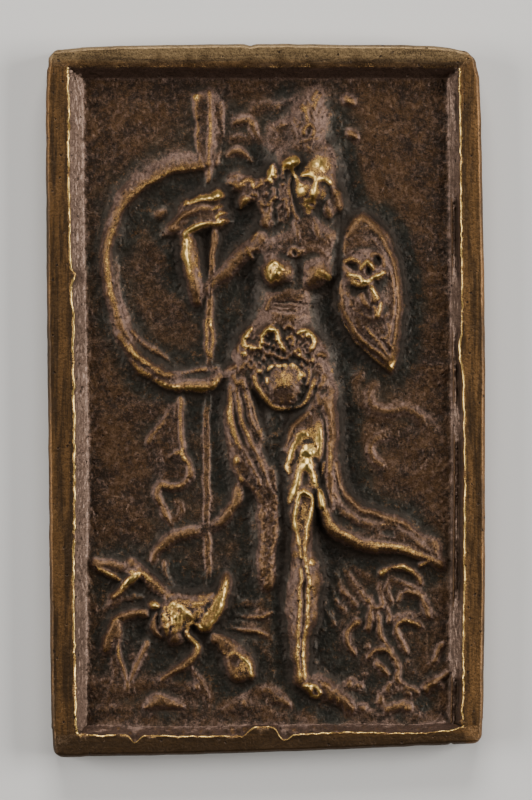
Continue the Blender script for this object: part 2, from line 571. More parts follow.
# Ground: rough hummocks, and the water's ripples between the beast and the leg
pebble(-17.8, 18, -32, -18.5, 0.9, 0.06)
pebble(-17.8, 18, -32.6, -27.5, 3.2, 0.14)
lay((0.3, 0.35, 0.2), (0.1, 0.25, 0.1), 0, -3.8, -20.6, -2, -20.4, -0.6, -20.5)
lay((0.15, 0.28, 0.2), (0.1, 0.45, 0.4), 0.3, -3.6, -21.6, -1.6, -21.7, 0, -21.65, 0.9, -21.4)
lay((0.15, 0.28, 0.2), (0.1, 0.25, 0.1), 0, -3.6, -22.3, -2.4, -22.35, -1.2, -22.3)
lay((0.2, 0.3, 0.15), (0.2, 0.45, 0.5, 0.25), 0.3, -4.4, -22.8, -2.2, -23.1, -0.6, -23.3, 0.7, -24)
lay((0.2, 0.3, 0.2), 0.2, 0, -2.4, -24.2, -1, -24.6, 0.4, -25.4)
chase(0.2, (-0.05, -0.2, -0.15), 0, -2.4, -22, -0.6, -22.1, 0.7, -22)
chase(0.2, (-0.1, -0.2, -0.1), 0, -2, -23.6, -0.4, -23.8)
mass(0.9, 0.7, -13, -30.8, -11.2, -29.3, -9.6, -29.4, -8, -30.4, -8.4, -31.2, -12.4, -31.3)
chase(0.2, (0.05, 0.15, 0.05), 0.35, -11.7, -29.9, -10.8, -29.6, -9.6, -29.9)
lay(0.8, 0.24, 0, -17.4, -28.8, -14.6, -28.8, -11, -28.5, -8, -29, right=1)
lay(0.35, 0.3, 0, -6.4, -28, -5.9, -29.4, -6, -31.6)
lay(0.8, 0.3, 0.05, -17.4, -31.6, -15.8, -30.9, -14.6, -31.2, right=1.2)
lay(0.5, 0.4, 0.1, -2.4, -30, -1, -29.2, 0.4, -29, right=1.3)
lay(0.35, 0.45, 0.2, 0.2, -30.2, 1.4, -30, 2.4, -30.4)
lay(0.6, 0.38, 0, -2, -30.6, 0, -31, 1.6, -32, right=1.2)
lay(0.6, 0.38, 0, 9, -32, 10.8, -31.6, 12.4, -32, right=1)
lay(0.6, 0.35, 0, -4.6, -31.4, -3.4, -30.9, -2.2, -31.6, right=1)

# The slain beast at the lower left, a tangle of limbs: a forked shaft, a humped body, a pointed wing, thin
# legs and a small round carcass.
mass(
    1.2, 1.25, -10.9, -19.6, -9.4, -19.2, -7, -19.2, -5.4, -18.9, -4.6, -18.2, -3.8, -17.5, -3.85, -19.4,
    -4.2, -21, -5, -22.6, -6.2, -23.2, -7.4, -22.6, -8, -23.6, -9.4, -24.2, -10.6, -23.9, -11.3, -22.6,
    -11.2, -21.2,
)
lay(
    (0.85, 0.8, 0.9), (0.75, 0.85, 0.9), 0.05, -13.4, -16.6, -12.2, -17.6, -11, -18.7, -9.7, -19.8,
    power=0.8,
)
chase(0.16, (0.1, 0.2, 0.1), 0.55, -12.9, -16.9, -11.8, -17.8, -10.4, -19.1)
knob(-13.5, -17.4, 0.5, 0.45, 0.3, 0.9)
lay(0.8, 0.7, 0, -16.9, -16.4, -15.6, -16.6, -14.2, -16.9, -12.8, -17, power=0.8)
chase(0.15, -0.25, 0, -16.2, -16.7, -15.3, -17.1, -14.4, -17.3)
lay((0.3, 0.4, 0.28), (0.8, 1, 0.8), 0.8, -16.9, -16.8, -16.1, -17.15, -15.3, -17.5, -14.5, -17.95)
lay(
    (0.4, 0.6, 0.6, 0.5), (0.8, 1, 1.2, 1.1), 0.8, -15.3, -19.7, -14.6, -19.1, -14, -18.4, -13.3, -17.8,
    -12.8, -17.4, power=0.8,
)
lay((0.25, 0.38, 0.28), (0.9, 1.1, 0.8), 0.65, -13.8, -17.2, -13.2, -17.4, -12.6, -17.8)
lay(0.55, 0.4, 0, -15.4, -20.4, -14, -19.9, -12.6, -19.9)
chase(0.2, 0.2, 0.35, -13.8, -18.9, -13.2, -19.5)
chase(
    (0.15, 0.2, 0.15), (0.15, 0.25, 0.15), 0.35, -9.9, -19.6, -9.1, -19.4, -8.2, -19.5, -7.2, -19.4,
    -6.2, -19.6, -5.3, -19.3,
)
chase(0.15, 0.12, 0.2, -8.6, -20, -7.4, -20.1, -6.2, -20.5)
chase(0.15, 0.12, 0.2, -7.8, -20.6, -6.8, -20.8, -5.9, -21.3)
mass(
    1.6, 1.5, -10.9, -20.4, -9.4, -19.9, -7.4, -20.2, -5.9, -20.9, -6.2, -22.4, -7.8, -22.9, -8.2, -24.4,
    -9.7, -24.4, -10.4, -22.8, power=0.8,
)
lump(-6.5, -21.5, 1.5, 1.2, 1.5, 0.5, power=0.8)
polish(-8.7, -21.8, 2.3, 1.7, 0.7, -15, power=0.5)
polish(-6.6, -21.1, 1.8, 1.5, 0.5, -15, power=0.5)
chase((0.2, 0.35, 0.3), (0.1, 0.2, 0.12), 0.9, -10.4, -21, -9.6, -20.5, -8.6, -20.7, -7.7, -21.3, -7.3, -22)
chase(0.22, (0.1, 0.3, 0.2), 0.6, -10, -21.5, -9.95, -22.4, -10, -23.5)
lay((0.3, 0.4, 0.3), (0.9, 1.1, 0.8), 0.25, -10.9, -21.2, -11.2, -22.2, -11.1, -23.2, -10.5, -23.8)
lump(-11.1, -20.4, 0.75, 0.62, 1.4, 0.95, power=0.7)
mass(
    0.45, 1.4, -7.3, -22.3, -6.3, -21.2, -5.3, -19.6, -4.5, -18.3, -3.75, -17.3, -3.8, -19.4, -4.4, -21.4,
    -5.4, -23, -6.3, -23.2, power=0.8, bright=0.5,
)
chase((0.14, 0.18, 0.12), (0.15, 0.2, 0.1), 0.95, -5.6, -22.9, -4.75, -21.5, -4.25, -19.9, -3.9, -18.2)
chase(0.25, (-0.05, -0.2, -0.05), 0, -6.6, -21.9, -5.6, -20.4, -4.8, -19)
gild(0.85, (0.55, 0.6, 0.5), -6.3, -22.2, -5.2, -20.7, -4.3, -19)
lay((0.35, 0.42, 0.4), (1.1, 1.3, 1.3), 0.85, -8.1, -22.7, -7.3, -22.3, -6.5, -22.8, -5.7, -22.9)
lay(
    (0.34, 0.36, 0.42, 0.55, 0.5, 0.3), (1.1, 1, 1, 0.9, 0.7, 0.5), 0.5, -7.9, -22.8, -7.9, -23.5,
    -7.2, -24.2, -6.85, -24.9, -7.5, -26, -8.7, -26.9, -10.4, -27.9, power=0.8,
)
gild(0.15, (0.5, 0.9, 0.8, 0.4, 0.2), -7.9, -23.3, -7.1, -24.1, -6.6, -24.8, -7.1, -25.8, -8.3, -26.9)
lay(0.28, 0.3, 0, -7.6, -26.6, -6.9, -27.6, -6.3, -28.3)
mass(
    0.6, 0.8, -11.6, -20.8, -13.8, -21, -15.2, -21.6, -16.1, -23, -16.4, -25, -15.4, -25.2, -14.5, -23.8,
    -14.2, -22.6, -12.9, -22, -11.5, -21.9, power=0.8,
)
chase(
    (0.3, 0.35, 0.3), (0.1, 0.2, 0.1), 0.15, -11.8, -21.1, -13.4, -21.2, -14.9, -21.8, -15.7, -23,
    -16, -24.4,
)
lay(
    (0.3, 0.22, 0.2), (0.6, 0.6, 0.5), 0.35, -14.6, -22.4, -14.7, -24, -14.65, -25.6, -14.3, -27.2,
    -13.8, -28.8,
)
lay((0.35, 0.3, 0.25), (0.4, 0.45, 0.5, 0.3), 0.1, -11.9, -24.3, -12.8, -26, -13.5, -27.8, -14, -29.2)
lay(0.28, 0.25, 0, -15.4, -25.4, -15.15, -27.2, -15.3, -29.4)
lump(-16, -25.05, 0.5, 0.4, 0.65, 0.65)
mass(
    0.7, 0.95, -5.8, -23.2, -4.6, -23.2, -2.9, -24, -1.4, -25.4, -0.9, -27, -1.6, -28.3, -3.4, -28.2,
    -4.4, -26.6, -4.6, -25.2, -5.6, -24.4, power=0.8,
)
lay(0.2, (0.7, 0.95, 0.9), 0.75, -5.2, -24, -4.5, -24.5, -4.25, -25.2, -3.8, -25.6)
lump(-2.7, -26.7, 1.45, 1.35, 1, 0.35, power=0.8)
polish(-2.4, -26.6, 1.2, 1.2, 0.5, power=0.6)
lay(
    (0.24, 0.3, 0.4), (1.1, 1.2, 1.1), 0.85, -3.8, -25.6, -3.3, -25.1, -2.7, -25.3, -2.1, -26, -1.6, -26.9,
    -1.4, -27.8,
)
lay(0.25, 0.4, 0.1, -4.1, -26.3, -3.9, -27, -3.2, -27.8)
for dip in (
    (-10.8, -22.2, 0.28, 0.4, -0.5), (-12.7, -21.7, 0.3, 0.25, -0.3), (-14.7, -22, 0.25, 0.25, -0.25),
    (-10.5, -23.3, 0.25, 0.2, -0.3), (-6.7, -23.7, 0.6, 0.35, -0.45), (-3.2, -26.3, 0.5, 0.4, -0.2),
    (-5.2, -25.2, 0.4, 0.4, -0.15), (-12.4, -20.4, 0.3, 0.5, -0.2), (-9.9, -20.4, 0.2, 0.15, -0.2),
    (-8.9, -20.3, 0.15, 0.12, -0.15), (-6.6, -26, 0.4, 0.6, -0.12), (-11, -26, 1.2, 1, -0.08),
):
    knob(*dip)
pebble(-11.2, -5, -25, -19, 0.5, 0.05)


# The figure, modelled on its own in higher relief than all around it.
# It stands on its right leg, steps forward with the left and holds a lance and a shield.

# Standing leg, under cloth that is left rough
mass(
    0.9, 1, -2.6, -6.4, -2.4, -8.4, -1.6, -9.6, -1, -12, -0.9, -17.6, 0.1, -19.2, 1, -18.4, 1.4, -15.5,
    1.8, -12, 1.6, -7, 0, -6, power=0.8,
)
lay((1, 0.9, 0.8, 0.8), (0.3, 0.2, 0.15, 0.15), 0, 0.3, -15, 0.4, -20, 0.5, -26, 0.8, -29.5)
pebble(-2.4, 2.2, -20, -8, 0.4, 0.05)
lay(0.4, 0.3, 0, -1.9, -9.4, -1.2, -11.4, -0.9, -13.4)

# Arm on the left of the picture: the upper arm drops back, the forearm rises to the lance.
lay((1.25, 1.1, 0.95, 0.9), (1.3, 1.05, 0.9, 0.8), 0, -0.4, 16, -2.6, 14.2, -4.6, 12.5, -6.4, 11)
lay(
    (0.7, 1, 1, 0.9, 0.8), (0.8, 1.3, 1.6, 1.6, 1.6), 0.1, -6.9, 10, -7.05, 11.4, -7.45, 13.4, -7.75, 15.2,
    -7.9, 16.6,
)
gild(0.55, (0.1, 0.45, 0.8, 0.75, 0.9), -7.2, 11.6, -7.6, 12.8, -7.9, 14, -8.1, 15.2, -8.3, 16.2)
chase(0.16, (0.1, 0.25, 0.25, 0.2), 0.55, -7.1, 15.8, -7, 14.8, -6.9, 13.6, -6.5, 13)
knob(-6.35, 12.5, 0.35, 0.6, 0.35, 0.55)

# Lance: a shaft with a groove down it, a long knop and a heavy three-edged head
shaft = curve(-5.05, 17.5, -5.5, 12, -5.7, 4, -5.95, -5, -5.9, -13, -5.7, -18.6)
lay((0.42, 0.42, 0.4, 0.38, 0.34, 0.3), (1.15, 0.85, 0.4, 0.36, 0.42, 0.34), 0, shaft, soft=0.1, power=0.6)
chase(0.15, (-0.14, -0.2, -0.14, -0.2, -0.2, -0.2), 0, shaft)
chase(0.16, 0.22, 0.35, arc(-5.62, 6.3, 0.3, 1.9, 0, 360))
gild(0.5, 0.1, shaft)
gild(0.09, (0, 0.2, 0.7, 0.2, 0.25, 0.45, 0.3), shaft + (0.33, 0))
gild(0.09, (0, 0, 0.5, 0, 0, 0.15, 0), shaft - (0.33, 0))
mass(
    0.35, 0.42, -5.6, 31.2, -7.1, 30.5, -7.15, 28.5, -6.95, 25.4, -6.35, 22.8, -5.9, 21, -5.4, 22.4,
    -4.85, 25, -4.4, 28, -4.45, 29.7, power=0.5,
)
chase(0.15, (0.1, 0.16, 0.16, 0.1), 0.3, -7, 30.3, -7, 28.5, -6.8, 25.4, -6.1, 22.4)
chase(0.16, (0.15, 0.25, 0.25, 0.2), 0.45, -5.6, 31, -5.6, 28, -5.65, 25, -5.75, 22)
chase(0.14, (0.15, 0.2, 0.18, 0.1), 0.4, -4.95, 30.8, -4.35, 29.6, -4.3, 27.6, -4.6, 25, -5.2, 22.8)
chase(0.3, (-0.1, -0.22, -0.1), 0, -4.95, 29.9, -4.9, 27, -5.2, 23.8)
chase(0.3, (-0.06, -0.1, -0.05), 0, -6.3, 29.6, -6.2, 27, -6, 24.2)
knob(-7.05, 30.5, 0.4, 0.35, 0.25, 0.7)

# Bare body to the waist
mass(
    2.2, 1.4, 3, 19.2, 1.6, 18, -0.4, 17, -1.6, 15.8, -1.5, 14.3, -0.8, 12.6, -0.7, 10.4, -1.3, 8.6,
    -2.7, 6.4, -3.4, 4, 1.5, 3, 6.4, 4, 5.6, 6.4, 5, 8.6, 5.4, 10.2, 7, 12, 8, 15, 7.8, 17.3, 6.4, 18.6,
    5, 19.4, power=0.7,
)
knob(1.1, 13, 1.55, 1.45, 0.9)
knob(5.4, 12.7, 1.55, 1.35, 0.8)
chase(0.7, -0.2, 0, 3.1, 14, 3.15, 11.4)
knob(2.4, 8.3, 2.2, 1.4, 0.2)
chase(0.5, (-0.1, -0.25, -0.1), 0, -0.4, 12, 0.8, 11.2, 2.2, 11.5)
chase(0.5, (-0.1, -0.2, -0.1), 0, 4, 11.3, 5.4, 10.9, 6.6, 11.4)
polish(0.9, 12.8, 1, 0.95, 0.65)
chase(0.28, (0.15, 0.2, 0.15), 0.95, 1.6, 13.2, 0.9, 13.75, 0.3, 13.3, 0.15, 12.6, 0.6, 12.05)
knob(1.05, 12.6, 0.32, 0.32, 0.15)
gild(0.2, (0.7, 0.6, 0.3), 1.8, 12.6, 2.4, 13, 2.9, 13.55)
polish(5.6, 12.5, 0.9, 0.6, 0.5)
chase(0.2, (0.05, 0.1, 0.2), 0.7, 4.6, 13.1, 5.6, 13, 6.3, 12.5)
knob(6.4, 12.15, 0.4, 0.35, 0.2, 0.95)

# Skirt: the hip, folds that fall to the left and run together, and the cloth over the right thigh
mass(
    1.5, 1.25, -2.7, 6.4, -3.7, 4.4, -4.2, 2, -3.6, 0.2, -1.6, 0.2, -0.2, -0.6, 1.5, -1.4, 3.2, -1,
    4.6, 0.2, 7.4, 0.4, 6.9, 3.2, 5.9, 5.3, 4.8, 7.4, 2, 8, power=0.8,
)
mass(
    1.4, 1, -4, 2.6, -4.4, -1, -4.3, -4.2, -3.8, -6.4, -3, -8.1, -1.6, -9.4, 0.2, -9.8, 1.3, -8.4,
    0.9, -6.4, 0.3, -4.6, -0.3, -2.6, -0.8, -0.6, -0.8, 2, power=0.8,
)
mass(
    1.5, 1.35, 3.4, 1.6, 7.2, 1.6, 7.5, -2, 7.5, -6, 7.4, -10.2, 6.8, -12.2, 5.7, -11, 5.2, -9.4, 4.6, -7.2,
    3.9, -6.8, 3.4, -8.2, 2.4, -10.4, 1.6, -9.2, 1.4, -7, 1.5, -4.4, 2.2, -2.2, 3.4, -0.8, power=0.8,
)
lay((1.3, 1.5, 1.3), 0.7, 0, 1, -1, 1, -3.5, 1.2, -6, 1.4, -8, power=0.8)
chase(
    (0.32, 0.42, 0.42, 0.3), (0.2, 0.38, 0.4, 0.25), 0.4, -3.6, 1.4, -3.57, 0.2, -3.5, -1.7, -3.2, -3.4,
    -2.5, -4.6,
)
chase(0.22, (0.1, 0.2, 0.2), 0.1, -4, -1, -4, -2.8, -3.6, -4.4)
chase(
    (0.3, 0.38, 0.38, 0.28), (0.15, 0.35, 0.35, 0.2), 0.35, -2.95, 1.4, -2.85, 0.6, -2.55, -1, -2.3, -2.3,
    -1.7, -3.7, -1.1, -4.8,
)
chase(
    (0.3, 0.4, 0.38, 0.28), (0.2, 0.38, 0.35, 0.2), 0.4, -2.3, 1.5, -2.05, 0.7, -1.55, -0.5, -1.15, -1.8,
    -0.5, -3.3, 0.2, -4.6,
)
chase(0.2, (0.1, 0.22, 0.1), 0.1, -1.75, 1, -1.2, -0.4, -0.85, -1.6, -0.3, -2.9)
chase(0.25, 0.25, 0.1, -3.9, 2.4, -3.7, 3.2, -3.1, 3.4)
chase(0.25, 0.25, 0.2, -3.1, 2.4, -2.9, 1.8, -2.4, 2)
chase(0.25, 0.25, 0.15, -2.4, 3.2, -2, 3.7, -1.6, 3.2)
chase((0.2, 0.3, 0.2), (0.1, 0.25, 0.2), 0, -2.3, -4.8, -1.6, -6.2, -0.6, -8.4)
chase((0.2, 0.26, 0.2), (0.1, 0.22, 0.15), 0.1, -1, -5, -0.5, -6.4, 0.3, -8.6)
chase(0.26, (0.1, 0.2, 0.15), 0, -3, -6.4, -2.4, -7.8, -1.4, -9)
chase(0.22, (-0.1, -0.28, -0.12), 0, -3.2, 0.6, -3.05, -1.4, -2.8, -3.4, -2.2, -4.6)
chase(0.22, (-0.1, -0.28, -0.12), 0, -2.5, 0.6, -2.1, -1.2, -1.7, -2.8, -1, -4.2)
chase(0.18, (-0.1, -0.2, -0.1), 0, -1.9, 0.6, -1.4, -1, -0.8, -2.8)
knob(-2.85, -5.95, 0.4, 0.4, 0.35, 0.7)
knob(-2.55, -8, 0.36, 0.4, 0.3, 0.3)
chase(0.26, 0.3, 0.15, 5.45, 1.6, 5.3, 0.6, 5.4, -0.4)
chase(0.25, 0.2, 0.1, 5.9, 2.4, 5.7, 1.2)
chase(0.25, (0.05, 0.2, 0.1), 0, 6.4, 1.6, 6.7, -0.6, 6.6, -2.6)

# Leg that steps forward, bare from the hem down: a ridge worn to two thin bright lines
thigh = curve(5.2, 1.6, 5, -1.5, 4.4, -5, 4, -9, 3.7, -12.4, 3.7, -14.6, 3.9, -15.8)
lay(
    (1.8, 2.1, 2.1, 1.7, 1.5, 1.4, 1.4), (1, 1.3, 1.6, 1.75, 1.75, 1.7, 1.6), 0, thigh, power=0.9,
    right=(2, 2.6, 3, 2.6, 1.8, 1.5, 1.5),
)
shin = curve(3.9, -15.6, 3.95, -18.2, 3.75, -21, 3.55, -24.6, 3.65, -28)
lay(
    (1.5, 2.1, 1.8, 1.1, 0.9), (1.6, 1.75, 1.65, 1.45, 1.2), 0, shin, power=1,
    right=(1.7, 2.4, 2.2, 1.5, 1.2),
)
chase(
    (0.24, 0.24, 0.18, 0.12), (0.25, 0.22, 0.15), 0.95, 3.8, -9.1, 3.3, -9.8, 3.02, -11.1, 2.84, -12.5,
    3, -13.6, 3.35, -14.6, 3.7, -15.8,
)
chase(
    (0.24, 0.24, 0.18, 0.12), (0.25, 0.22, 0.15), 0.95, 4, -9.1, 4.75, -9.8, 4.6, -11.1, 4.2, -12.5,
    3.95, -13.6, 3.85, -14.6, 4.2, -16.6,
)
chase(
    0.13, 0.25, 0.85, 3.62, -16.8, 3.55, -18.5, 3.45, -20.5, 3.25, -22.4, 3.3, -24.6, 3.25, -25.8,
    3.4, -27.2, 3.55, -28.3,
)
chase(0.2, -0.12, 0, 3.9, -16.9, 3.95, -18.5, 3.85, -20.4, 3.68, -22.4, 3.6, -24.4, 3.55, -26.6)
chase(0.13, 0.25, 0.9, 4.2, -16.6, 4.35, -18.5, 4.25, -20.2, 4.1, -22.2, 3.9, -24.2, 3.85, -26.6, 4, -28)
chase((0.4, 0.45, 0.3), -0.12, 0, 3.95, -10, 3.75, -11.4, 3.55, -13)
gild(0.55, (0.55, 0.55, 0.5, 0.35, 0.15), 3.9, -9.4, 3.75, -11.4, 3.5, -13, 3.55, -14.4)
knob(3, -15.5, 0.38, 0.38, 0.25, 0.4)
knob(4.6, -16.2, 0.38, 0.4, 0.3, 0.75)
knob(4.95, -12.9, 0.2, 0.35, 0.25, 0.7)
knob(4.9, -18.2, 0.8, 1.4, 0.15, 0.05)
polish(5, -21, 1, 4.5, 0.25)
chase((0.7, 0.9, 0.7), (0.1, 0.22, 0.1), 0, 5, -17.5, 5.2, -20.5, 4.8, -24.5)

# Its foot, turned out, with the great toe foremost
mass(
    1.1, 0.9, 3, -27.4, 3.5, -28.8, 4.3, -29.8, 5.4, -30.2, 6.8, -30.7, 8.2, -31.3, 9.2, -31, 8.9, -29.8,
    7.6, -28.5, 6.2, -27.6, 4.8, -26.8, power=0.8,
)
lay((0.9, 0.7, 0.5), (1.2, 1.3, 1.2), 0.3, 3.6, -27.4, 4, -28.4, 4.6, -29)
chase(
    0.2, (0.3, 0.35, 0.3), 0.95, 4, -28.7, 4.5, -28.5, 5.1, -28.8, 5.45, -29.3, 5.1, -29.65, 4.6, -29.5,
    4.4, -29.1,
)
knob(4.15, -28.75, 0.35, 0.3, 0.2, 1)
lay((0.7, 0.8, 0.5), (0.4, 0.5, 0.4), 0.1, 0, -29.2, 1.2, -29.9, 2.6, -30.6)
knob(5.95, -28.6, 0.35, 0.3, 0.25, 0.35)
for i in range(4):
    x, y = 5.9 + 0.75 * i, -28.7 - 0.42 * i
    chase(
        (0.2, 0.3, 0.28), (0.1, 0.22, 0.25), 0.2 * (i < 2), x - 0.4, y + 0.5, x + 0.4, y - 0.7,
        x + 0.6, y - 1.3,
    )
    knob(x + 0.05, y - 1.5, 0.3, 0.25, 0.15, 0.25)

# Cloth drawn over the thigh in crossing folds, its hem parted like a tent
chase((0.5, 0.65, 0.7, 0.6), (0.3, 0.5, 0.4, 0.3), 0, 5.9, 0, 6.6, -2, 6.9, -5, 6.8, -8.5, 6.6, -11)
chase((0.16, 0.22, 0.16), (0.15, 0.3, 0.2), 0.5, 6.4, -4.2, 6.6, -5.9, 6.45, -7.3)
chase((0.3, 0.35, 0.3), (0.1, 0.3, 0.25), 0.05, 4.2, -1.2, 3.2, -2.2, 2.4, -3.4, 1.9, -5)
chase(0.25, (0.1, 0.25, 0.15), 0.1, 4.6, -0.6, 3.7, -1.6, 2.8, -2.6)
chase(
    (0.3, 0.4, 0.44, 0.3), (0.15, 0.25, 0.2), 0.75, 4, -3.1, 3.5, -3.4, 3, -4.4, 2.3, -5.9, 2.1, -6.5,
    2.3, -7.1,
)
chase((0.4, 0.42, 0.4, 0.3), (0.2, 0.3, 0.3, 0.2), 0.65, 5.3, -2.2, 5.4, -3.2, 5.45, -4.6, 5.2, -6)
polish(4.6, -3.1, 1.1, 0.6, 0.7, 38)
polish(4.2, -4.8, 1.5, 2.6, 1, -14, power=0.6)
polish(4, -8, 1.5, 1.7, 0.5, power=0.6)
chase(0.16, 0.25, 0.6, 5.85, -6.2, 5.75, -7.2, 5.55, -8.1)
chase(
    (0.6, 0.55, 0.5, 0.3), (0.2, 0.3, 0.35, 0.25), 0.85, 3.8, -6.5, 3.2, -7.2, 3.05, -8.4, 2.65, -9.5,
    2.3, -10.2,
)
chase(
    (0.6, 0.5, 0.45, 0.4), (0.2, 0.3, 0.35, 0.35), 0.75, 4.3, -6.5, 4.8, -7.5, 5.05, -8.4, 5.55, -9.3,
    5.6, -10.6,
)
knob(4.1, -5.15, 0.85, 0.5, 0.3, 0.9)
polish(4.1, -6.55, 1, 0.45, 0.95)
gild(0.7, (0.4, 0.75, 0.75, 0.9), 5.2, -2.5, 4.9, -3.8, 4.5, -5.2, 4.1, -6.8)
knob(4.25, -4.1, 0.6, 0.35, -0.12, 0, 20)
knob(3.35, -5.2, 0.3, 0.85, -0.1, 0, -28)
knob(4.9, -5.9, 0.3, 0.3, -0.12)
knob(3.95, -7.9, 0.42, 0.9, -0.14)

# Straps over the breast with a ring between them, and creases at the waist
chase(0.18, 0.28, 0.2, arc(2.95, 14.75, 0.42, 0.4, 0, 360))
knob(3.7, 15, 0.2, 0.25, 0.2, 0.3)
chase(0.16, 0.28, 0.5, -1.75, 15.3, -1.5, 14.7, -1.15, 14)
chase(0.15, 0.2, 0.2, -1.7, 15.1, -1.2, 15.15, -0.7, 15.15)
chase(0.16, 0.2, 0.3, -0.95, 16.9, -1.15, 16.5, -1.4, 16.1)
chase(0.3, 0.12, 0, 0.1, 14.2, 1.4, 15.1, 2.4, 14.7)
chase(0.3, 0.12, 0, 3.5, 14.9, 5, 15.2, 6.6, 14.3)
chase(0.18, 0.25, 0.25, 0, 9.1, 0.1, 9.6, 0.5, 10)
for y, high in ((9.72, -0.24), (9.3, -0.2), (8.9, -0.16)):
    chase((0.14, 0.16, 0.12), (high, high, 0.4 * high), 0, 0.5, y + 0.15, 2.2, y, 4.6, y - 0.05)

# Girdle of curling leaves
chase((0.2, 0.34, 0.3, 0.22), 0.5, 0.75, -1.35, 7.3, -1.8, 6.7, -2.2, 6, -1.9, 5.5, -1.4, 5.3, -1, 5.2)
knob(-1.9, 6.4, 0.3, 0.3, 0.25, 0.9)
chase(0.16, 0.25, 0.4, -2.7, 5.7, -2.75, 5.2, -2.6, 5)
knob(-2.1, 4.6, 0.32, 0.3, 0.35, 0.9)
chase(
    (0.2, 0.26, 0.34, 0.28, 0.22), 0.5, 0.85, -0.5, 5.3, -0.4, 6.1, -0.1, 6.75, 0.5, 7, 0.95, 6.9, 1.2, 6.2,
    1.45, 5.6, 1.9, 5.2,
)
knob(0.4, 6.95, 0.45, 0.25, 0.15, 1)
chase(0.15, 0.25, 0.55, 0.4, 7.2, 0.75, 7.75)
chase(0.17, 0.35, 0.55, 2.15, 6.2, 2.5, 6.45, 2.8, 6.1, 2.8, 5.5)
chase(0.16, 0.25, 0.3, 1.95, 7.2, 2.3, 7.45, 3, 7.15)
chase((0.2, 0.28, 0.22, 0.18), 0.45, 0.85, 3.3, 6.8, 3.9, 7.05, 4.4, 6.8, 4.75, 6.2, 4.75, 5.6, 4.5, 5.15)
chase(0.22, 0.3, 0.7, 3.7, 6.45, 4.25, 6.5)
chase(0.2, 0.35, 0.45, 3, 4.9, 3.3, 5.1, 3.5, 4.7, 3.3, 4.5)
chase(0.16, 0.25, 0.25, 3.5, 4.5, 4.1, 4.05, 4.8, 4)
knob(4.7, 4.15, 0.2, 0.2, 0.25, 0.9)
chase(0.18, 0.25, 0.25, 5.1, 4.6, 5.5, 4.65, 5.85, 4.3)
knob(6.65, 3, 0.2, 0.3, 0.3, 0.7)
chase(0.2, 0.22, 0.1, 0, 4.5, 0.9, 4.5, 1.8, 4.3, 2.6, 4.6)
chase(0.22, 0.22, 0.1, -1.6, 4.4, -1.2, 3.6, -1.1, 2.8)
pebble(-2.6, 5.6, 2.6, 7.4, 0.5, 0.1)

# Round boss with a beaded edge, hung from the girdle in a swag
knob(1.85, 1.7, 1.75, 2, 0.7, 0.2, power=0.7)
polish(1.9, 2.2, 1.6, 1.4, 0.48, power=0.5)
chase(0.2, 0.25, 0.9, 0.1, 1.7, 0.05, 2.6, 0.5, 3.4, 1.2, 3.55, 2, 3.65, 2.8, 3.4, 3.35, 2.8, 3.4, 2)
knob(-0.7, 3, 0.3, 0.3, 0.35, 0.65)
knob(3.75, 2.5, 0.28, 0.45, 0.3, 0.85)
chase(0.15, 0.3, 0.5, 4.35, 3.2, 4.3, 2.3, 4.1, 1.5)
chase(0.15, 0.2, 0.2, 3.6, 3.5, 3.9, 3)
chase(
    (0.32, 0.3, 0.28), (0.5, 0.5, 0.45, 0.45), 0.45, -1.2, 2.3, -0.9, 1.6, -0.4, 0.7, 0.15, 0, 0.9, -0.6,
    1.7, -0.95, 2.6, -0.9, 3.4, -0.5, 4, 0.1, 4.5, 0.95, 4.85, 2.1,
)
chase(0.16, 0.2, 0.35, -0.3, 1.8, 0.2, 0.6, 1, -0.1, 2, -0.35, 3, -0.1, 3.8, 0.8)
for i in range(10):
    a = math.radians(165 + 24 * i)
    knob(1.85 + 1.75 * math.cos(a), 1.7 + 2 * math.sin(a), 0.17, 0.17, 0.15, 0.2)
knob(0.1, 2.6, 0.28, 0.28, -0.35)
knob(0.7, 2.2, 0.2, 0.2, -0.2)
knob(1.3, 2.75, 0.13, 0.13, -0.15)
knob(1.9, 0.7, 1.1, 0.6, -0.12)

# Hand on the lance: a cuff of cloth over the wrist, the back of the hand and three fingers
mass(
    1.1, 1.15, -8.5, 16, -9.9, 16.9, -9.6, 18.2, -8.7, 19.7, -7.4, 20.4, -5.6, 21, -4.5, 21.2, -4.1, 20.4,
    -4.4, 19, -4.3, 17.4, -5.6, 17, -7.2, 16.9, power=0.8,
)
lay(
    (0.5, 0.6, 0.6, 0.45, 0.3), (1.4, 1.7, 1.8, 1.6, 1.3), 0.95, -8.3, 15.8, -8, 16.7, -7.1, 17.3,
    -5.8, 17.7, -4.6, 17.5, soft=0.15,
)
lay(0.3, 0.3, 0, -10.2, 16.6, -9.4, 16.7, -8.6, 16.9)
chase((0.3, 0.45, 0.6, 0.6), (0.25, 0.35, 0.5, 0.6), 0.85, -8.1, 19.8, -6.8, 20.1, -5.7, 20.4, -4.9, 20.7)
knob(-4.8, 20.75, 0.55, 0.45, 0.2, 1.1)
polish(-5.6, 20.2, 1.4, 0.7, 0.6, 15)
knob(-8, 19.95, 0.3, 0.28, 0.2, 0.6)
chase(0.3, (0.1, 0.25, 0.25), 0.1, -9.4, 17.4, -8.5, 18.3, -7.2, 19, -5.6, 19.3)
chase(0.22, (-0.15, -0.3, -0.35), 0, -9, 18.7, -7.6, 19.45, -6.4, 19.75, -4.8, 19.95)
chase(0.2, (-0.1, -0.2, -0.1), 0, -9, 17.4, -8.2, 18.1, -7, 18.3)
for x, y in ((-5.1, 19.2), (-4.75, 18.45), (-4.6, 17.75)):
    lay(
        (0.28, 0.34, 0.24), (1.3, 1.5, 1.1), 0.65, x - 0.3, y - 0.3, x + 0.15, y + 0.1, x + 0.7, y + 0.15,
        soft=0.1,
    )
chase(0.13, 0.25, 0.95, -4.85, 18, -4.85, 18.35, -4.5, 18.65, -4, 18.75)
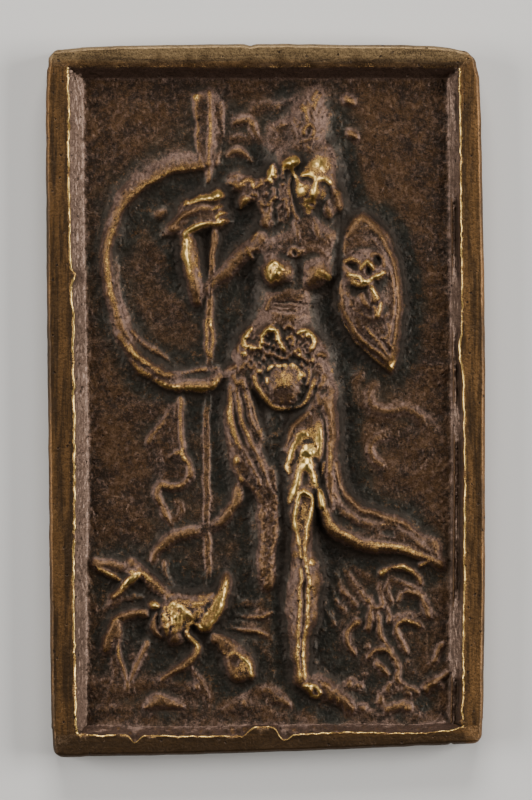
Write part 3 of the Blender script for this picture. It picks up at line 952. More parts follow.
chase(0.13, 0.25, 0.85, -4.95, 18, -4.8, 17.65, -4.3, 17.5)
chase(0.12, 0.2, 0.5, -4.8, 19.2, -4.6, 19.45, -4.2, 19.55)

# Helmet: a broad soft dome with a band over the brow, a small ring and a stalk
mass(
    2.9, 0.95, 1.4, 22.2, -0.2, 24.4, -0.6, 26, 0.2, 27.6, 1.4, 28.8, 2.6, 30.2, 3.8, 31.2, 4.8, 31.7,
    5.8, 31.2, 6.2, 29.8, 6.6, 28, 6.9, 26.2, 7.1, 24.2, 7, 22.2, 4.4, 21.4, power=0.9,
)
knob(4.4, 26.8, 1.9, 2.6, 0.4)
polish(4.3, 27.2, 2.6, 3.6, 0.22)
knob(4.9, 29.6, 0.9, 1.6, 0.2)
chase(0.15, 0.25, 0.4, 5.1, 31, 4.95, 30.5, 4.75, 30.1)
chase(0.17, 0.25, 0.35, 5.5, 30.6, 5.1, 30, 4.8, 29.3)
knob(3.9, 29.3, 0.5, 0.5, 0.3, 0.3)
knob(4, 29.2, 0.2, 0.3, 0.15, 0.6)
chase(0.2, 0.25, 0.35, 4.1, 28.7, 4.15, 28.1)
chase(0.14, 0.12, 0, 2.9, 29.2, 3.3, 29.9, 4.1, 30, 4.5, 29.5)
chase(0.17, 0.28, 0.3, 3.6, 26.8, 3.85, 27.4, 4.35, 27.7, 4.8, 27.3, 4.7, 26.7)
knob(4.2, 27, 0.3, 0.25, -0.15)
chase(0.15, 0.15, 0.1, 3.3, 25.8, 4, 26.05, 4.8, 26.25, 5.6, 26.25, 6.1, 25.9)
chase(0.14, 0.12, 0.05, 3, 25.2, 3.8, 25.55, 4.4, 25.3)
knob(6.1, 26, 0.18, 0.2, 0.15, 0.35)
knob(6.4, 28.6, 0.2, 0.35, 0.2, 0.25, -35)
knob(1.1, 27.45, 1.1, 0.5, 0.22, 0, 6)
knob(0.9, 26.7, 0.25, 0.2, -0.15)
knob(2.5, 26.6, 0.8, 1.2, -0.12)
chase(0.3, 0.12, 0, 1.2, 29.4, 2.2, 29.9, 3.2, 30.4)

# Neck and head. The face is a plain one: eyes half way down the head, the nose to three quarters.
HEAD_AT = (4.65, 21.6)
HEAD_TILT = -16.5
turn = math.radians(HEAD_TILT)


def on_face(*numbers):
    """Places in the face's own directions, across and up, turned with the head."""
    p = np.array(numbers, float).reshape(-1, 2)
    x = HEAD_AT[0] + math.cos(turn) * p[:, 0] - math.sin(turn) * p[:, 1]
    y = HEAD_AT[1] + math.sin(turn) * p[:, 0] + math.cos(turn) * p[:, 1]
    return np.column_stack([x, y]).ravel()


mass(
    1.2, 1.1, 1, 25.4, 2.6, 26.6, 5, 26.8, 6.9, 25.8, 7.2, 23.6, 7.5, 21.6, 8, 20.2, 7.9, 19, 7, 18,
    6, 17.4, 5.4, 16, 2.4, 16.2, 0.8, 17.6, 0.6, 21, 0.4, 23.6, power=0.7,
)
lay((2.6, 2.1, 1.9), (1.3, 1.3, 1.3), 0, 3.8, 16.2, 4, 17.8, 4.3, 19.6, power=0.9)
chase(0.3, (0.1, 0.2, 0.15), 0, 2.9, 18.6, 3.1, 17.4, 3.2, 16)
chase(0.3, (0.1, 0.2, 0.1), 0, 4.9, 18.2, 5.1, 17, 5.4, 16)
lump(*HEAD_AT, 2.45, 3.8, 2.2, 0.3, HEAD_TILT, power=0.8)
polish(*HEAD_AT, 2.2, 3.7, 0.42, HEAD_TILT, power=0.4)
knob(*on_face(0.15, 2.3), 1.7, 1.3, 0.35, 0, HEAD_TILT)
polish(*on_face(0.15, 2.3), 1.4, 1.1, 0.8, HEAD_TILT)
for u in (-0.6, 1.15):
    knob(*on_face(u, 0.25), 0.55, 0.34, -0.36, 0, HEAD_TILT)
    knob(*on_face(u, 0.2), 0.36, 0.19, 0.24, 0.7, HEAD_TILT)
chase(0.24, 0.16, 1, *on_face(-1.2, 0.7, -0.6, 0.92, 0, 0.72))
chase(0.24, 0.16, 1, *on_face(0.55, 0.72, 1.15, 0.9, 1.65, 0.66))
chase((0.2, 0.24, 0.34), (0.2, 0.34, 0.46), 1, *on_face(0.26, 0.7, 0.36, -0.2, 0.42, -1))
chase(0.17, 0.18, 0.9, *on_face(-0.2, -1.74, 0.35, -1.62, 0.9, -1.74))
chase(0.18, 0.18, 0.9, *on_face(-0.08, -2.1, 0.35, -2.18, 0.78, -2.1))
chase(0.1, -0.1, 0, *on_face(-0.15, -1.92, 0.35, -1.9, 0.85, -1.92))
knob(*on_face(0.3, -2.65), 0.5, 0.38, 0.14, 0.75)
knob(*on_face(-0.95, -0.9), 0.7, 0.7, 0.15, 0.85)
knob(*on_face(1.4, -0.8), 0.4, 0.6, 0.12, 0.85)

# Hair: a roll over the temple, a loose mass at the left and single locks at both sides
mass(
    0.9, 1, 2.9, 24.6, 1.6, 24.2, 0.5, 23.7, -0.5, 22.8, -1.8, 22.6, -3.6, 22.3, -3.2, 21, -2.8, 19.4,
    -1.4, 19.6, -0.8, 18.6, -0.6, 17.2, 0.4, 16.6, 1.4, 17.2, 2.4, 17.8, 3.3, 18.2, 3, 20.4, 3.2, 22.4,
    power=0.8,
)
lump(-2.8, 22.25, 1.3, 0.65, 0.8, 0)
lump(2.65, 23.85, 1.2, 0.8, 2.2, 1, 30, power=0.7, soft=0.15)
polish(2.65, 23.85, 1.1, 0.75, 1, 30, power=0.5)
chase((0.3, 0.3, 0.2), (0.3, 0.35, 0.2), 0.9, 2.1, 23.9, 1.8, 23.3, 1.7, 22.7)
chase((0.25, 0.22, 0.16), (0.3, 0.35, 0.3), 0.9, 2.5, 23.4, 2.9, 22.7, 3.15, 22.1, 3.45, 21.5)
chase(
    (0.2, 0.28, 0.24, 0.2), (0.2, 0.4, 0.4, 0.3), 0.35, 2.6, 22.6, 2.35, 21.4, 2.5, 20.2, 2.75, 19,
    3.2, 18.2,
)
chase(0.2, (0.2, 0.3, 0.2), 0.2, 1.9, 21.6, 1.95, 20.4, 2.2, 19.3, 2.3, 18.4)
knob(2.2, 22.9, 0.22, 0.25, -0.2)
chase((0.3, 0.4, 0.35, 0.2), (0.3, 0.5, 0.45, 0.2), 0.9, 0.7, 23.5, 0.45, 22.9, 0.35, 22.3, 0.6, 21.7)
chase(0.2, 0.3, 0.6, 1, 23.1, 0.95, 22.4)
chase(
    0.17, (0.3, 0.4, 0.35, 0.25), 0.6, 0.1, 22.1, -0.5, 21.6, -1, 21.3, -1.3, 21.9, -1.9, 22, -2.5, 21.6,
    -3.2, 21.7, -3.9, 21.9,
)
chase(0.15, 0.25, 0.3, -3.4, 21.2, -2.6, 21.4, -1.9, 21.5)
chase(0.16, (0.2, 0.3, 0.2), 0.4, -0.6, 20, -0.1, 19.5, 0.4, 19.9, 0.9, 20.2, 1.5, 20.1)
chase((0.25, 0.35, 0.25), (0.3, 0.5, 0.3), 0.5, -2.4, 19.3, -2.1, 20, -1.4, 20.1)
chase(0.18, 0.3, 0.4, -1.3, 20.6, -0.8, 20.65)
chase(0.25, (0.2, 0.3, 0.3, 0.1), 0.1, 0.4, 19.6, 0.35, 18.6, 0.05, 17.6, 0.2, 16.9)
chase(0.22, (0.1, 0.25, 0.2), 0.1, -0.3, 19.2, -0.1, 18.2, -0.3, 17.4)
chase(0.22, (0.1, 0.25, 0.2), 0.05, 1.7, 21.6, 1.4, 20.8, 1.7, 19.9, 1.4, 19.2)
chase(0.22, (0.1, 0.25, 0.2), 0.05, 0.6, 21.3, 0.9, 20.6, 0.5, 19.9)
chase(0.2, (0.1, 0.2, 0.1), 0, -0.2, 21.2, 0.1, 20.6, -0.3, 20.2)
chase(0.22, (0.1, 0.25, 0.2), 0.05, 2.2, 20.6, 2.1, 19.6, 2.4, 18.8)
for dip in (
    (1, 18.4, 0.35, 0.6, -0.3), (-1.9, 19, 0.8, 0.25, -0.3), (-2.7, 20.6, 0.5, 0.3, -0.3),
    (0.1, 20.5, 0.25, 0.2, -0.2), (1.2, 20.7, 0.2, 0.25, -0.2), (-0.6, 19.7, 0.2, 0.2, -0.15),
    (1.4, 23, 0.2, 0.5, -0.25), (-0.3, 22.6, 0.4, 0.25, -0.15),
):
    knob(*dip)
pebble(-2.5, 2.6, 17.5, 24, 0.55, 0.07)
chase((0.3, 0.4, 0.3), (0.15, 0.3, 0.2), 0.1, 6.7, 22.4, 6.9, 21.2, 7.3, 20.2, 7.6, 19.2)
knob(7.3, 20.8, 0.5, 0.4, 0.3, 0.25)
chase(0.35, (0.1, 0.25, 0.2), 0, 6.2, 20.4, 6.2, 19.2, 6.6, 18.2)

# Shield: a pointed oval with a raised rim, ribbed along its right side
SHIELD_MIDDLE = np.array([10.3, 10.8])
edge = curve(
    9.7, 18.9, 8.4, 18.3, 7.5, 16.6, 7, 13.8, 6.9, 11.2, 7.4, 8.6, 8.7, 6.2, 10.5, 4.2, 11.8, 3.4,
    12.8, 2.9, 13.4, 4.8, 13.85, 7.4, 13.9, 10, 13.6, 13, 12.8, 15.8, 11.4, 18, 9.7, 18.9,
)
LEFT_RIM = edge[30:96] - SHIELD_MIDDLE
RIGHT_RIM = edge[96:155] - SHIELD_MIDDLE
relief.over(relief.plate(edge[:-1], 0.8, 1.15), 0.1)
relief.add(relief.plate(edge[:-1], 3.4, 0.45))
for share, high, bright in (
    (0.97, 0.3, (0.2, 0.8, 0.9, 0.8, 0.9)), (0.9, -0.2, 0), (0.84, 0.14, (0, 0.3, 0.3, 0.2)),
    (0.77, -0.12, 0),
):
    chase(0.15, (0.3 * high, high, high, high), 0, SHIELD_MIDDLE + LEFT_RIM * share)
    gild(0.13, bright, SHIELD_MIDDLE + LEFT_RIM * share)
for share, high, bright in (
    (0.96, 0.2, 0.45), (0.9, -0.14, 0), (0.84, 0.15, 0.15), (0.77, -0.12, 0), (0.71, 0.12, 0.1),
):
    chase(0.17, (high, high, high, 0.3 * high), bright, SHIELD_MIDDLE + RIGHT_RIM * share)
gild(0.25, (1, 0.8, 0.2), 12.6, 3.4, 12.85, 4.1, 13.1, 4.9)
polish(9.8, 18.1, 1.4, 0.6, 0.2)

# Grotesque mask on the shield: sunk eyes, a snout, a gaping lip and a long tongue
knob(9.9, 13.2, 2.3, 2, 0.5, power=0.8)
knob(10.4, 10.2, 1.5, 2, 0.3)
for *dip, tilt in (
    (8.7, 13.4, 0.6, 0.28, -0.5, -8), (11.15, 14, 0.4, 0.5, -0.5, 20),
    (10.45, 12.95, 0.35, 0.35, -0.5, -20), (10.9, 9.6, 0.35, 0.2, -0.25, 10),
    (9.8, 16.6, 1, 0.4, -0.1, 0), (9.2, 11, 0.6, 0.5, -0.15, -30),
):
    knob(*dip, tilt=tilt)
chase(0.2, 0.25, 0.5, 8, 13.9, 8.4, 14.2, 8.9, 14.1, 9.3, 13.9)
chase(0.2, 0.2, 0.1, 10.6, 14.6, 11.2, 14.75, 11.8, 14.2, 11.85, 13.5)
chase((0.15, 0.2, 0.15), 0.3, 0.85, 9.45, 13.3, 9.8, 13.7, 10.1, 13.9, 10.5, 13.6, 10.8, 13.1)
chase(
    (0.15, 0.2, 0.2, 0.2), 0.3, 0.85, 8.2, 12.5, 8.8, 12.5, 9.4, 12.45, 9.95, 12, 10.5, 11.95, 11, 12.3,
    11.4, 12.6, 11.75, 12.9,
)
chase(
    (0.25, 0.4, 0.4, 0.3), (0.1, 0.25, 0.3, 0.2), 0.45, 7.9, 12.9, 8.1, 12.2, 8.9, 11.9, 9.8, 11.6,
    10.8, 11.5,
)
knob(11.2, 12.4, 0.3, 0.4, 0.15, 0.85)
chase((0.15, 0.22, 0.15), 0.35, 0.9, 10.8, 11.3, 10.95, 10.8, 11.2, 10.2)
chase((0.15, 0.2, 0.15), 0.3, 0.75, 11.45, 9.8, 11.4, 9.2, 11.3, 8.5)
chase(0.35, 0.25, 0.25, 10.7, 11, 10.8, 10.2, 10.9, 9.2, 11.1, 8.6)
chase(0.2, 0.15, 0, 8.2, 10.8, 8.7, 9.4, 9.8, 8.4, 10.8, 8.2)
chase(0.25, 0.18, 0.1, 9.6, 10.6, 9.9, 9.8, 10.3, 9.2)
chase(0.2, (0.15, 0.3, 0.15), 0.4, 10.1, 7.3, 10.5, 6.6, 11.1, 6)
chase(0.22, (0.15, 0.25, 0.15), 0.15, 11.3, 5.9, 11.7, 5.2, 12.4, 4.5)
chase(0.16, 0.2, 0.15, 12.3, 7.7, 12.45, 7, 12.2, 6.4, 11.7, 6.2)
chase(0.16, 0.2, 0.1, 12.3, 5.9, 12.8, 5.2)
chase(0.15, 0.2, 0.1, 11.9, 8.2, 12.3, 8.7)
knob(12.3, 5.3, 0.3, 0.45, -0.12, 0, 25)


# The surface of the casting: face, walls and back as one closed mesh.
# Lost-wax casting rounds every edge by about a tenth of a millimetre and leaves the skin faintly pebbled.

# Reaches, for blurs across and up, and the lip's width are in steps of the net; heights in millimetres.
# A skirt has its share, the height that it counts up to, and its reach.
SOFTNESS = (1.6, 1.0)
RUB_REACH = (2.6, 1.6)
STEEPEST = 1.4
STEEPEST_STEPS = 14
WORN_SHARE = 0.35
SKIRTS = ((0.72, 0.8, (15.0, 9.0)), (0.9, 1.2, (6.5, 4.0)))
SKIRT_FILLET = 0.2
RELIEF_TOP = 2.76
RELIEF_KNEE = 1.7
LIP_WIDTH = 1.7

# The length and height of each kind of unevenness, on the whole skin and on the relief alone
SKIN = ((2.6, 0.018), (1.1, 0.010), (0.45, 0.012))
GRAIN = ((1.3, 0.012), (0.5, 0.008))

# What counts as a full crest, a deep or narrow hollow and a steep wall
CREST_REACH = (7.5, 4.6)
CREST_FULL = 0.14
HOLLOW_REACH = (34.0, 20.0)
HOLLOW_FULL = 0.38
NARROW_REACH = (14.0, 8.5)
NARROW_FULL = 0.22
STEEP_FULL = 0.7

WALL_RINGS = 12
WALL_WAVES = 0.05
BACK_ROUND = 0.3
BACK_HOLLOW = 0.06

# The net is thinned to at most this many triangles on the face, by a growing error in millimetres, in which
# the outline and the rubbed places weigh more and less than height.
MAX_TRIANGLES = 150000
LEAST_ERROR = 0.004
ERROR_GROWTH = 1.08
OUTLINE_WEIGHT = 4
SHADE_WEIGHT = 0.06


def blurred(values, spread):
    """A Gaussian blur over the net, its spread given in steps across and up: each wave is weakened by
    exp(-2 (pi spread frequency) squared)."""
    across_rate = np.fft.rfftfreq(values.shape[1])[None, :]
    up_rate = np.fft.fftfreq(values.shape[0])[:, None]
    weaken = np.exp(-2 * np.pi**2 * ((spread[0] * across_rate) ** 2 + (spread[1] * up_rate) ** 2))
    return np.fft.irfft2(np.fft.rfft2(values) * weaken, s=values.shape)


def eased_walls(values):
    """Lets no wall be steeper than STEEPEST: the mean of the surface with its feet filled out and of the
    surface with its crests worn down to that slope, both carried from point to point of the net."""
    across_run = STEEPEST * np.diff(net_x, axis=1)
    up_run = STEEPEST * np.diff(net_y, axis=0)
    filled, worn = values.copy(), values.copy()
    for _ in range(STEEPEST_STEPS):
        for (low, high), run in (
            ((np.s_[:, :-1], np.s_[:, 1:]), across_run),
            ((np.s_[:-1, :], np.s_[1:, :]), up_run),
        ):
            filled[high] = np.maximum(filled[high], filled[low] - run)
            filled[low] = np.maximum(filled[low], filled[high] - run)
            worn[high] = np.minimum(worn[high], worn[low] + run)
            worn[low] = np.minimum(worn[low], worn[high] + run)
    return (1 - WORN_SHARE) * filled + WORN_SHARE * worn


# The wax was smoothed into the plate around every form, in a wide and a narrow skirt, so low ground runs
# between those that stand close. A skirt is a share of the relief below a height, blurred.
ground = 0.0
for share, top, reach in SKIRTS:
    ground = np.maximum(ground, share * blurred(np.minimum(relief.z, top), reach))
gap = np.clip(SKIRT_FILLET - np.abs(relief.z - ground), 0, None)
relief.z = np.maximum(relief.z, ground) + gap * gap / (4 * SKIRT_FILLET)

# The tallest forms are lowered towards the top of the CAD solid, and the rough grain grows with the relief.
tall = relief.z.max()
lowered = RELIEF_KNEE + (relief.z - RELIEF_KNEE) * (RELIEF_TOP - RELIEF_KNEE) / (tall - RELIEF_KNEE)
soft = blurred(eased_walls(np.where(relief.z > RELIEF_KNEE, lowered, relief.z)), SOFTNESS)
skin = sum(high * uneven(net_x, net_y, size) for size, high in SKIN)
skin *= np.where(inward > LIP_STEP, 1.0, 0.35)
grain = sum(high * uneven(net_x, net_y, size) for size, high in GRAIN)
soft += grain * calm * np.clip(soft / 0.6, 0, 1)
height = np.maximum(border_height(), FIELD_Z + soft) + skin * np.clip(inward / ROUND_STEP, 0, 1)
rubbed = 1.1 * blurred(relief.bright, RUB_REACH)

# The lip is worn bright along the left, right and bottom, hardly at the top.
lip_wear = np.where(upright, np.where(net_x < 0, 1.2, 0.95), np.where(net_y < 0, 0.95, 0.25))
lip_line = np.exp(-(((inward - LIP_STEP) / LIP_WIDTH) ** 2))
lip_line *= 0.9 + 0.25 * uneven(net_x, net_y, 1.6)
rubbed = np.maximum(rubbed, lip_wear * lip_line)


def off_chord(values):
    """How far each point of the net lies from the middle of the long side that it would split."""
    off = np.zeros_like(values)
    size = 2
    while size <= CELLS:
        h = size // 2
        even, odd = slice(0, None, size), slice(h, None, size)
        low, high = slice(0, CELLS, size), slice(size, None, size)
        off[even, odd] = values[even, odd] - (values[even, low] + values[even, high]) / 2
        off[odd, even] = values[odd, even] - (values[low, even] + values[high, even]) / 2
        rising = (values[low, low] + values[high, high]) / 2
        falling = (values[low, high] + values[high, low]) / 2
        n = np.arange(CELLS // size)
        alternate = (n[:, None] + n[None, :]) % 2 == 0
        off[odd, odd] = values[odd, odd] - np.where(alternate, rising, falling)
        size *= 2
    return off


def carried_up(own):
    """Each point's own error or, where larger, that of the finer points that can't be split without it."""
    worst = own.copy()
    size = 2
    while size <= CELLS:
        h, q = size // 2, size // 4
        even, odd = slice(0, None, size), slice(h, None, size)
        low, high = slice(0, CELLS, size), slice(size, None, size)
        if q:
            finer = np.pad(worst[q::h, q::h], 1)
            pairs = np.maximum(finer[0::2, :], finer[1::2, :])
            worst[even, odd] = np.maximum(worst[even, odd], np.maximum(pairs[:, 1:-1:2], pairs[:, 2::2]))
            pairs = np.maximum(finer[:, 0::2], finer[:, 1::2])
            worst[odd, even] = np.maximum(worst[odd, even], np.maximum(pairs[1:-1:2, :], pairs[2::2, :]))
        sides = np.maximum(worst[low, odd], worst[high, odd])
        sides = np.maximum(sides, np.maximum(worst[odd, low], worst[odd, high]))
        worst[odd, odd] = np.maximum(worst[odd, odd], sides)
        size *= 2
    return worst


def triangles(worst, tolerance):
    """Splits two large right triangles at the middle of their long sides for as long as the error there
    is over the tolerance. Rows are the two ends of the long side and the right angle's corner."""
    side = CELLS + 1
    last = side * side - 1
    left = np.array([[0, last, CELLS], [last, 0, last - CELLS]])
    done = []
    flat = worst.ravel()
    while len(left):
        a, b, c = left.T
        middle = (a + b) // 2
        leg = np.abs(a - c)
        cut = (leg != 1) & (leg != side) & (flat[middle] > tolerance)
        done.append(left[~cut])
        a, b, c, middle = a[cut], b[cut], c[cut], middle[cut]
        left = np.concatenate([np.column_stack([c, a, middle]), np.column_stack([b, c, middle])])
    return np.concatenate(done)


def facing(x, y, z):
    """Unit normals of the net: the cross product of its steps across and up."""
    across_step = np.stack([np.gradient(v, axis=1) for v in (x, y, z)], -1)
    up_step = np.stack([np.gradient(v, axis=0) for v in (x, y, z)], -1)
    normal = np.cross(across_step, up_step)
    return normal / np.linalg.norm(normal, axis=-1, keepdims=True)


# The net takes the CAD solid's exact width and height.
low, high = (np.array(corner) / MM for corner in cad_box)
place_x = low[0] + (net_x - net_x.min()) * (high[0] - low[0]) / np.ptp(net_x)
place_y = low[1] + (net_y - net_y.min()) * (high[1] - low[1]) / np.ptp(net_y)
height = np.minimum(height, high[2])
face_normal = facing(place_x, place_y, height)

# The back is flat but for a faint hollow and the unevenness of the cast.
rounding = np.clip(1 - inward / ROUND_STEP, 0, 1)
back = BACK_HOLLOW * (0.5 + 0.4 * uneven(net_x, net_y, 9.0) + 0.2 * uneven(net_x, net_y, 2.2))
back = np.clip(back, 0, None) * (1 - rounding) + BACK_ROUND * rounding**2
back_normal = -facing(place_x, place_y, back)

face_error = np.abs(off_chord(height)) * face_normal[..., 2]
face_error = np.maximum(face_error, SHADE_WEIGHT * np.abs(off_chord(rubbed)))
rim_error = OUTLINE_WEIGHT * np.hypot(off_chord(place_x), off_chord(place_y))
at_rim = inward == 0
face_worst = carried_up(np.where(at_rim, np.maximum(face_error, rim_error), face_error))
back_worst = carried_up(np.abs(off_chord(back)))
shared = np.where(at_rim, np.maximum(face_worst, back_worst), 0)
face_worst = carried_up(np.maximum(face_worst, shared))
back_worst = carried_up(np.maximum(back_worst, shared))

tolerance = LEAST_ERROR
face_tris = triangles(face_worst, tolerance)
while len(face_tris) > MAX_TRIANGLES:
    tolerance *= ERROR_GROWTH
    face_tris = triangles(face_worst, tolerance)
back_tris = triangles(back_worst, tolerance)
face_used, face_tris = np.unique(face_tris, return_inverse=True)
back_used, back_tris = np.unique(back_tris, return_inverse=True)
face_tris = face_tris.reshape(-1, 3)
back_tris = back_tris.reshape(-1, 3)
face_points = np.column_stack([v.ravel()[face_used] for v in (place_x, place_y, height)])
back_points = np.column_stack([v.ravel()[back_used] for v in (place_x, place_y, back)])

# The walls join the rims of face and back, which use the same points of the net, counterclockwise from
# above.
side = np.arange(CELLS)
last = (CELLS + 1) ** 2 - 1
rim = np.concatenate([side, CELLS + side * (CELLS + 1), last - side, last - CELLS - side * (CELLS + 1)])
rim = rim[np.isin(rim, face_used)]
upper = np.searchsorted(face_used, rim)
lower = np.searchsorted(back_used, rim)
run = np.roll(face_points[upper, :2], -1, 0) - np.roll(face_points[upper, :2], 1, 0)
outward = np.column_stack([run[:, 1], -run[:, 0]]) / np.linalg.norm(run, axis=1, keepdims=True)
share = (np.arange(1, WALL_RINGS) / WALL_RINGS)[:, None]
wall_z = face_points[upper, 2] * (1 - share) + back_points[lower, 2] * share
wall_x = np.broadcast_to(face_points[upper, 0], wall_z.shape)
wall_y = np.broadcast_to(face_points[upper, 1], wall_z.shape)
tuck = WALL_WAVES * (0.6 + 0.5 * uneven(wall_x + wall_z, wall_y + wall_z, 3.0)) * np.sin(np.pi * share)
tuck = np.clip(tuck, 0, None)
wall_points = np.stack([wall_x - tuck * outward[:, 0], wall_y - tuck * outward[:, 1], wall_z], -1)

wall_start = len(face_points)
back_start = wall_start + wall_points.shape[0] * wall_points.shape[1]
rings = np.arange(wall_start, back_start).reshape(WALL_RINGS - 1, len(rim))
rings = np.vstack([upper[None, :], rings, back_start + lower[None, :]])
beside_rings = np.roll(rings, -1, 1)
quads = np.stack([rings[:-1], rings[1:], beside_rings[1:], beside_rings[:-1]], -1).reshape(-1, 4)
points = np.concatenate([face_points, wall_points.reshape(-1, 3), back_points])
faces = face_tris[:, [0, 2, 1]].tolist() + quads.tolist() + (back_start + back_tris).tolist()

mesh = bpy.data.meshes.new("relief_plaquette")
mesh.from_pydata((points * MM).tolist(), [], faces)
mesh.shade_smooth()

# Normals come from the full net, finer than the triangles. At the rims they lean half outwards.
outward = np.column_stack([outward, np.zeros(len(rim))])
face_normals = face_normal.reshape(-1, 3)[face_used]
back_normals = back_normal.reshape(-1, 3)[back_used]
face_normals[upper] += outward
back_normals[lower] += outward
wall_normals = np.tile(outward, (WALL_RINGS - 1, 1))
normals = np.concatenate([face_normals, wall_normals, back_normals])
normals /= np.linalg.norm(normals, axis=1, keepdims=True)
mesh.normals_split_custom_set_from_vertices(normals.tolist())

# What the finish follows: how rubbed a place is, how far it stands out of its surroundings or lies below
# them, how steep it is, where the border and its bevel lie, and where the border runs up the picture.
wall_count = back_start - wall_start
crest = np.clip((height - blurred(height, CREST_REACH)) / CREST_FULL, -1, 1)
on_border = np.clip((LIP_STEP + 4 - inward) / 8, 0, 1)
on_bevel = np.clip((FOOT_STEP + 2 - inward) / 6, 0, 1) * (1 - on_border)
on_bevel *= 1 - np.clip(groove / 0.5, 0, 0.8)

# The bevel's pale skin is left along the two long sides and nearly gone at the ends.
on_bevel *= np.where(upright, np.where(net_x < 0, 1.05, 0.95), np.where(net_y < 0, 0.12, 0.15))
hollow = np.clip((blurred(soft, HOLLOW_REACH) - soft) / HOLLOW_FULL, 0, 1)
narrow = np.clip((blurred(soft, NARROW_REACH) - soft) / NARROW_FULL, 0, 1)
steep = np.clip(np.hypot(face_normal[..., 0], face_normal[..., 1]) / face_normal[..., 2] / STEEP_FULL, 0, 1)
finish = {
    "rubbed": rubbed,
    "crest": crest,
    "hollow": np.maximum(hollow, narrow),
    "steep": blurred(steep, SOFTNESS),
    "border": on_border,
    "bevel": on_bevel,
    "upright": upright,
}
for name, values in finish.items():
    on_wall = np.full(wall_count, float(name == "border"))
    data = np.concatenate([values.ravel()[face_used], on_wall, np.zeros(len(back_points))])
    mesh.attributes.new(name, "FLOAT", "POINT").data.foreach_set("value", data.astype(np.float32))


def placed(name, data):
    """A new object of the scene, at the origin."""
    made = bpy.data.objects.new(name, data)
    bpy.context.scene.collection.objects.link(made)
    return made


plaquette = placed("relief_plaquette", mesh)
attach(plaquette, "root")
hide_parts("plaquette")


# The metal: bronze gone dark brown with age, greenish in its hollows and rubbed back to gold on its crests.
# Handling does this over centuries; nothing is painted on, so the colours run into each other.

bronze = bpy.data.materials.new("aged_bronze")
bronze.use_nodes = True
shader = bronze.node_tree
shader.nodes.clear()


class Value:
    """A socket of the shader. An operator between it and a number or another socket adds a Math node."""

    def __init__(self, socket):
        self.socket = socket

    def __add__(self, other):
        return math_node("ADD", self, other)

    def __sub__(self, other):
        return math_node("SUBTRACT", self, other)

    def __rsub__(self, other):
        return math_node("SUBTRACT", other, self)

    def __mul__(self, other):
        return math_node("MULTIPLY", self, other)

    __radd__ = __add__
    __rmul__ = __mul__


def add_node(kind, settings=None, out=0, **values):
    """Adds a node of a kind, sets its settings first and then its sockets, named by their identifiers with
    underscores for spaces; a value is a number, a colour or a wrapped socket."""
    made = shader.nodes.new("ShaderNode" + kind)
    for name, setting in (settings or {}).items():
        setattr(made, name, setting)
    sockets = {s.identifier.replace(" ", "_"): s for s in made.inputs}
    for name, value in values.items():
        if isinstance(value, Value):
            shader.links.new(value.socket, sockets[name])
        else:
            sockets[name].default_value = value
    return Value(made.outputs[out]) if made.outputs else made


def math_node(operation, a, b):
    """A Math node between two values."""
    return add_node("Math", {"operation": operation}, Value=a, Value_001=b)


def between(value, low, high):
    """0 below low, 1 above high, smooth from one to the other; low may be the larger."""
    smooth = {"interpolation_type": "SMOOTHSTEP"}
    return add_node("MapRange", smooth, Value=value, From_Min=low, From_Max=high)


def mixed(share, a, b):
    """Two colours mixed by a share from 0 to 1."""
    return add_node("Mix", {"data_type": "RGBA"}, out=2, Factor_Float=share, A_Color=a, B_Color=b)


def noise(place, size, detail, rough):
    """Noise from 0 to 1 whose patches are about size millimetres across."""
    return add_node("TexNoise", Vector=place, Scale=0.5 / size, Detail=detail, Roughness=rough)


def attribute(name):
    """One of the mesh's own values, as a number."""
    return add_node("Attribute", {"attribute_name": name}, out=2)


# Colours as the shader takes them, with straight-line light values
FIELD_BROWN = (0.090, 0.044, 0.017, 1)
DARK_BROWN = (0.027, 0.0165, 0.0100, 1)
HOLLOW_GREEN = (0.0165, 0.0190, 0.0140, 1)
DEEP_GREEN = (0.0060, 0.0075, 0.0055, 1)
FLANK_MAUVE = (0.105, 0.061, 0.044, 1)
BEVEL_MAUVE = (0.23, 0.150, 0.107, 1)
WARM_BROWN = (0.150, 0.076, 0.028, 1)
BORDER_BROWN = (0.150, 0.074, 0.024, 1)
STREAK_BROWN = (0.052, 0.028, 0.011, 1)
TOP_BROWN = (0.24, 0.155, 0.07, 1)
RIGHT_BROWN = (0.27, 0.135, 0.045, 1)
GOLD = (0.60, 0.41, 0.13, 1)
GOLD_DEEP = (0.38, 0.21, 0.065, 1)

# Object coordinates in millimetres, and the same drawn out along each side of the border
metres = add_node("TexCoord", out=3)
place = add_node("VectorMath", {"operation": "SCALE"}, Vector=metres, Scale=1 / MM)
times = {"operation": "MULTIPLY"}
stretched_up = add_node("VectorMath", times, Vector=place, Vector_001=(1.0, 0.07, 1.0))
stretched_across = add_node("VectorMath", times, Vector=place, Vector_001=(0.07, 1.0, 1.0))
stretched = add_node(
    "Mix", {"data_type": "VECTOR"}, out=1,
    Factor_Float=attribute("upright"), A_Vector=stretched_across, B_Vector=stretched_up,
)
right = add_node("SeparateXYZ", Vector=place)
up = add_node("SeparateXYZ", out=1, Vector=place)

rub = attribute("rubbed")
stand = attribute("crest")
hollow = attribute("hollow")
border = attribute("border")

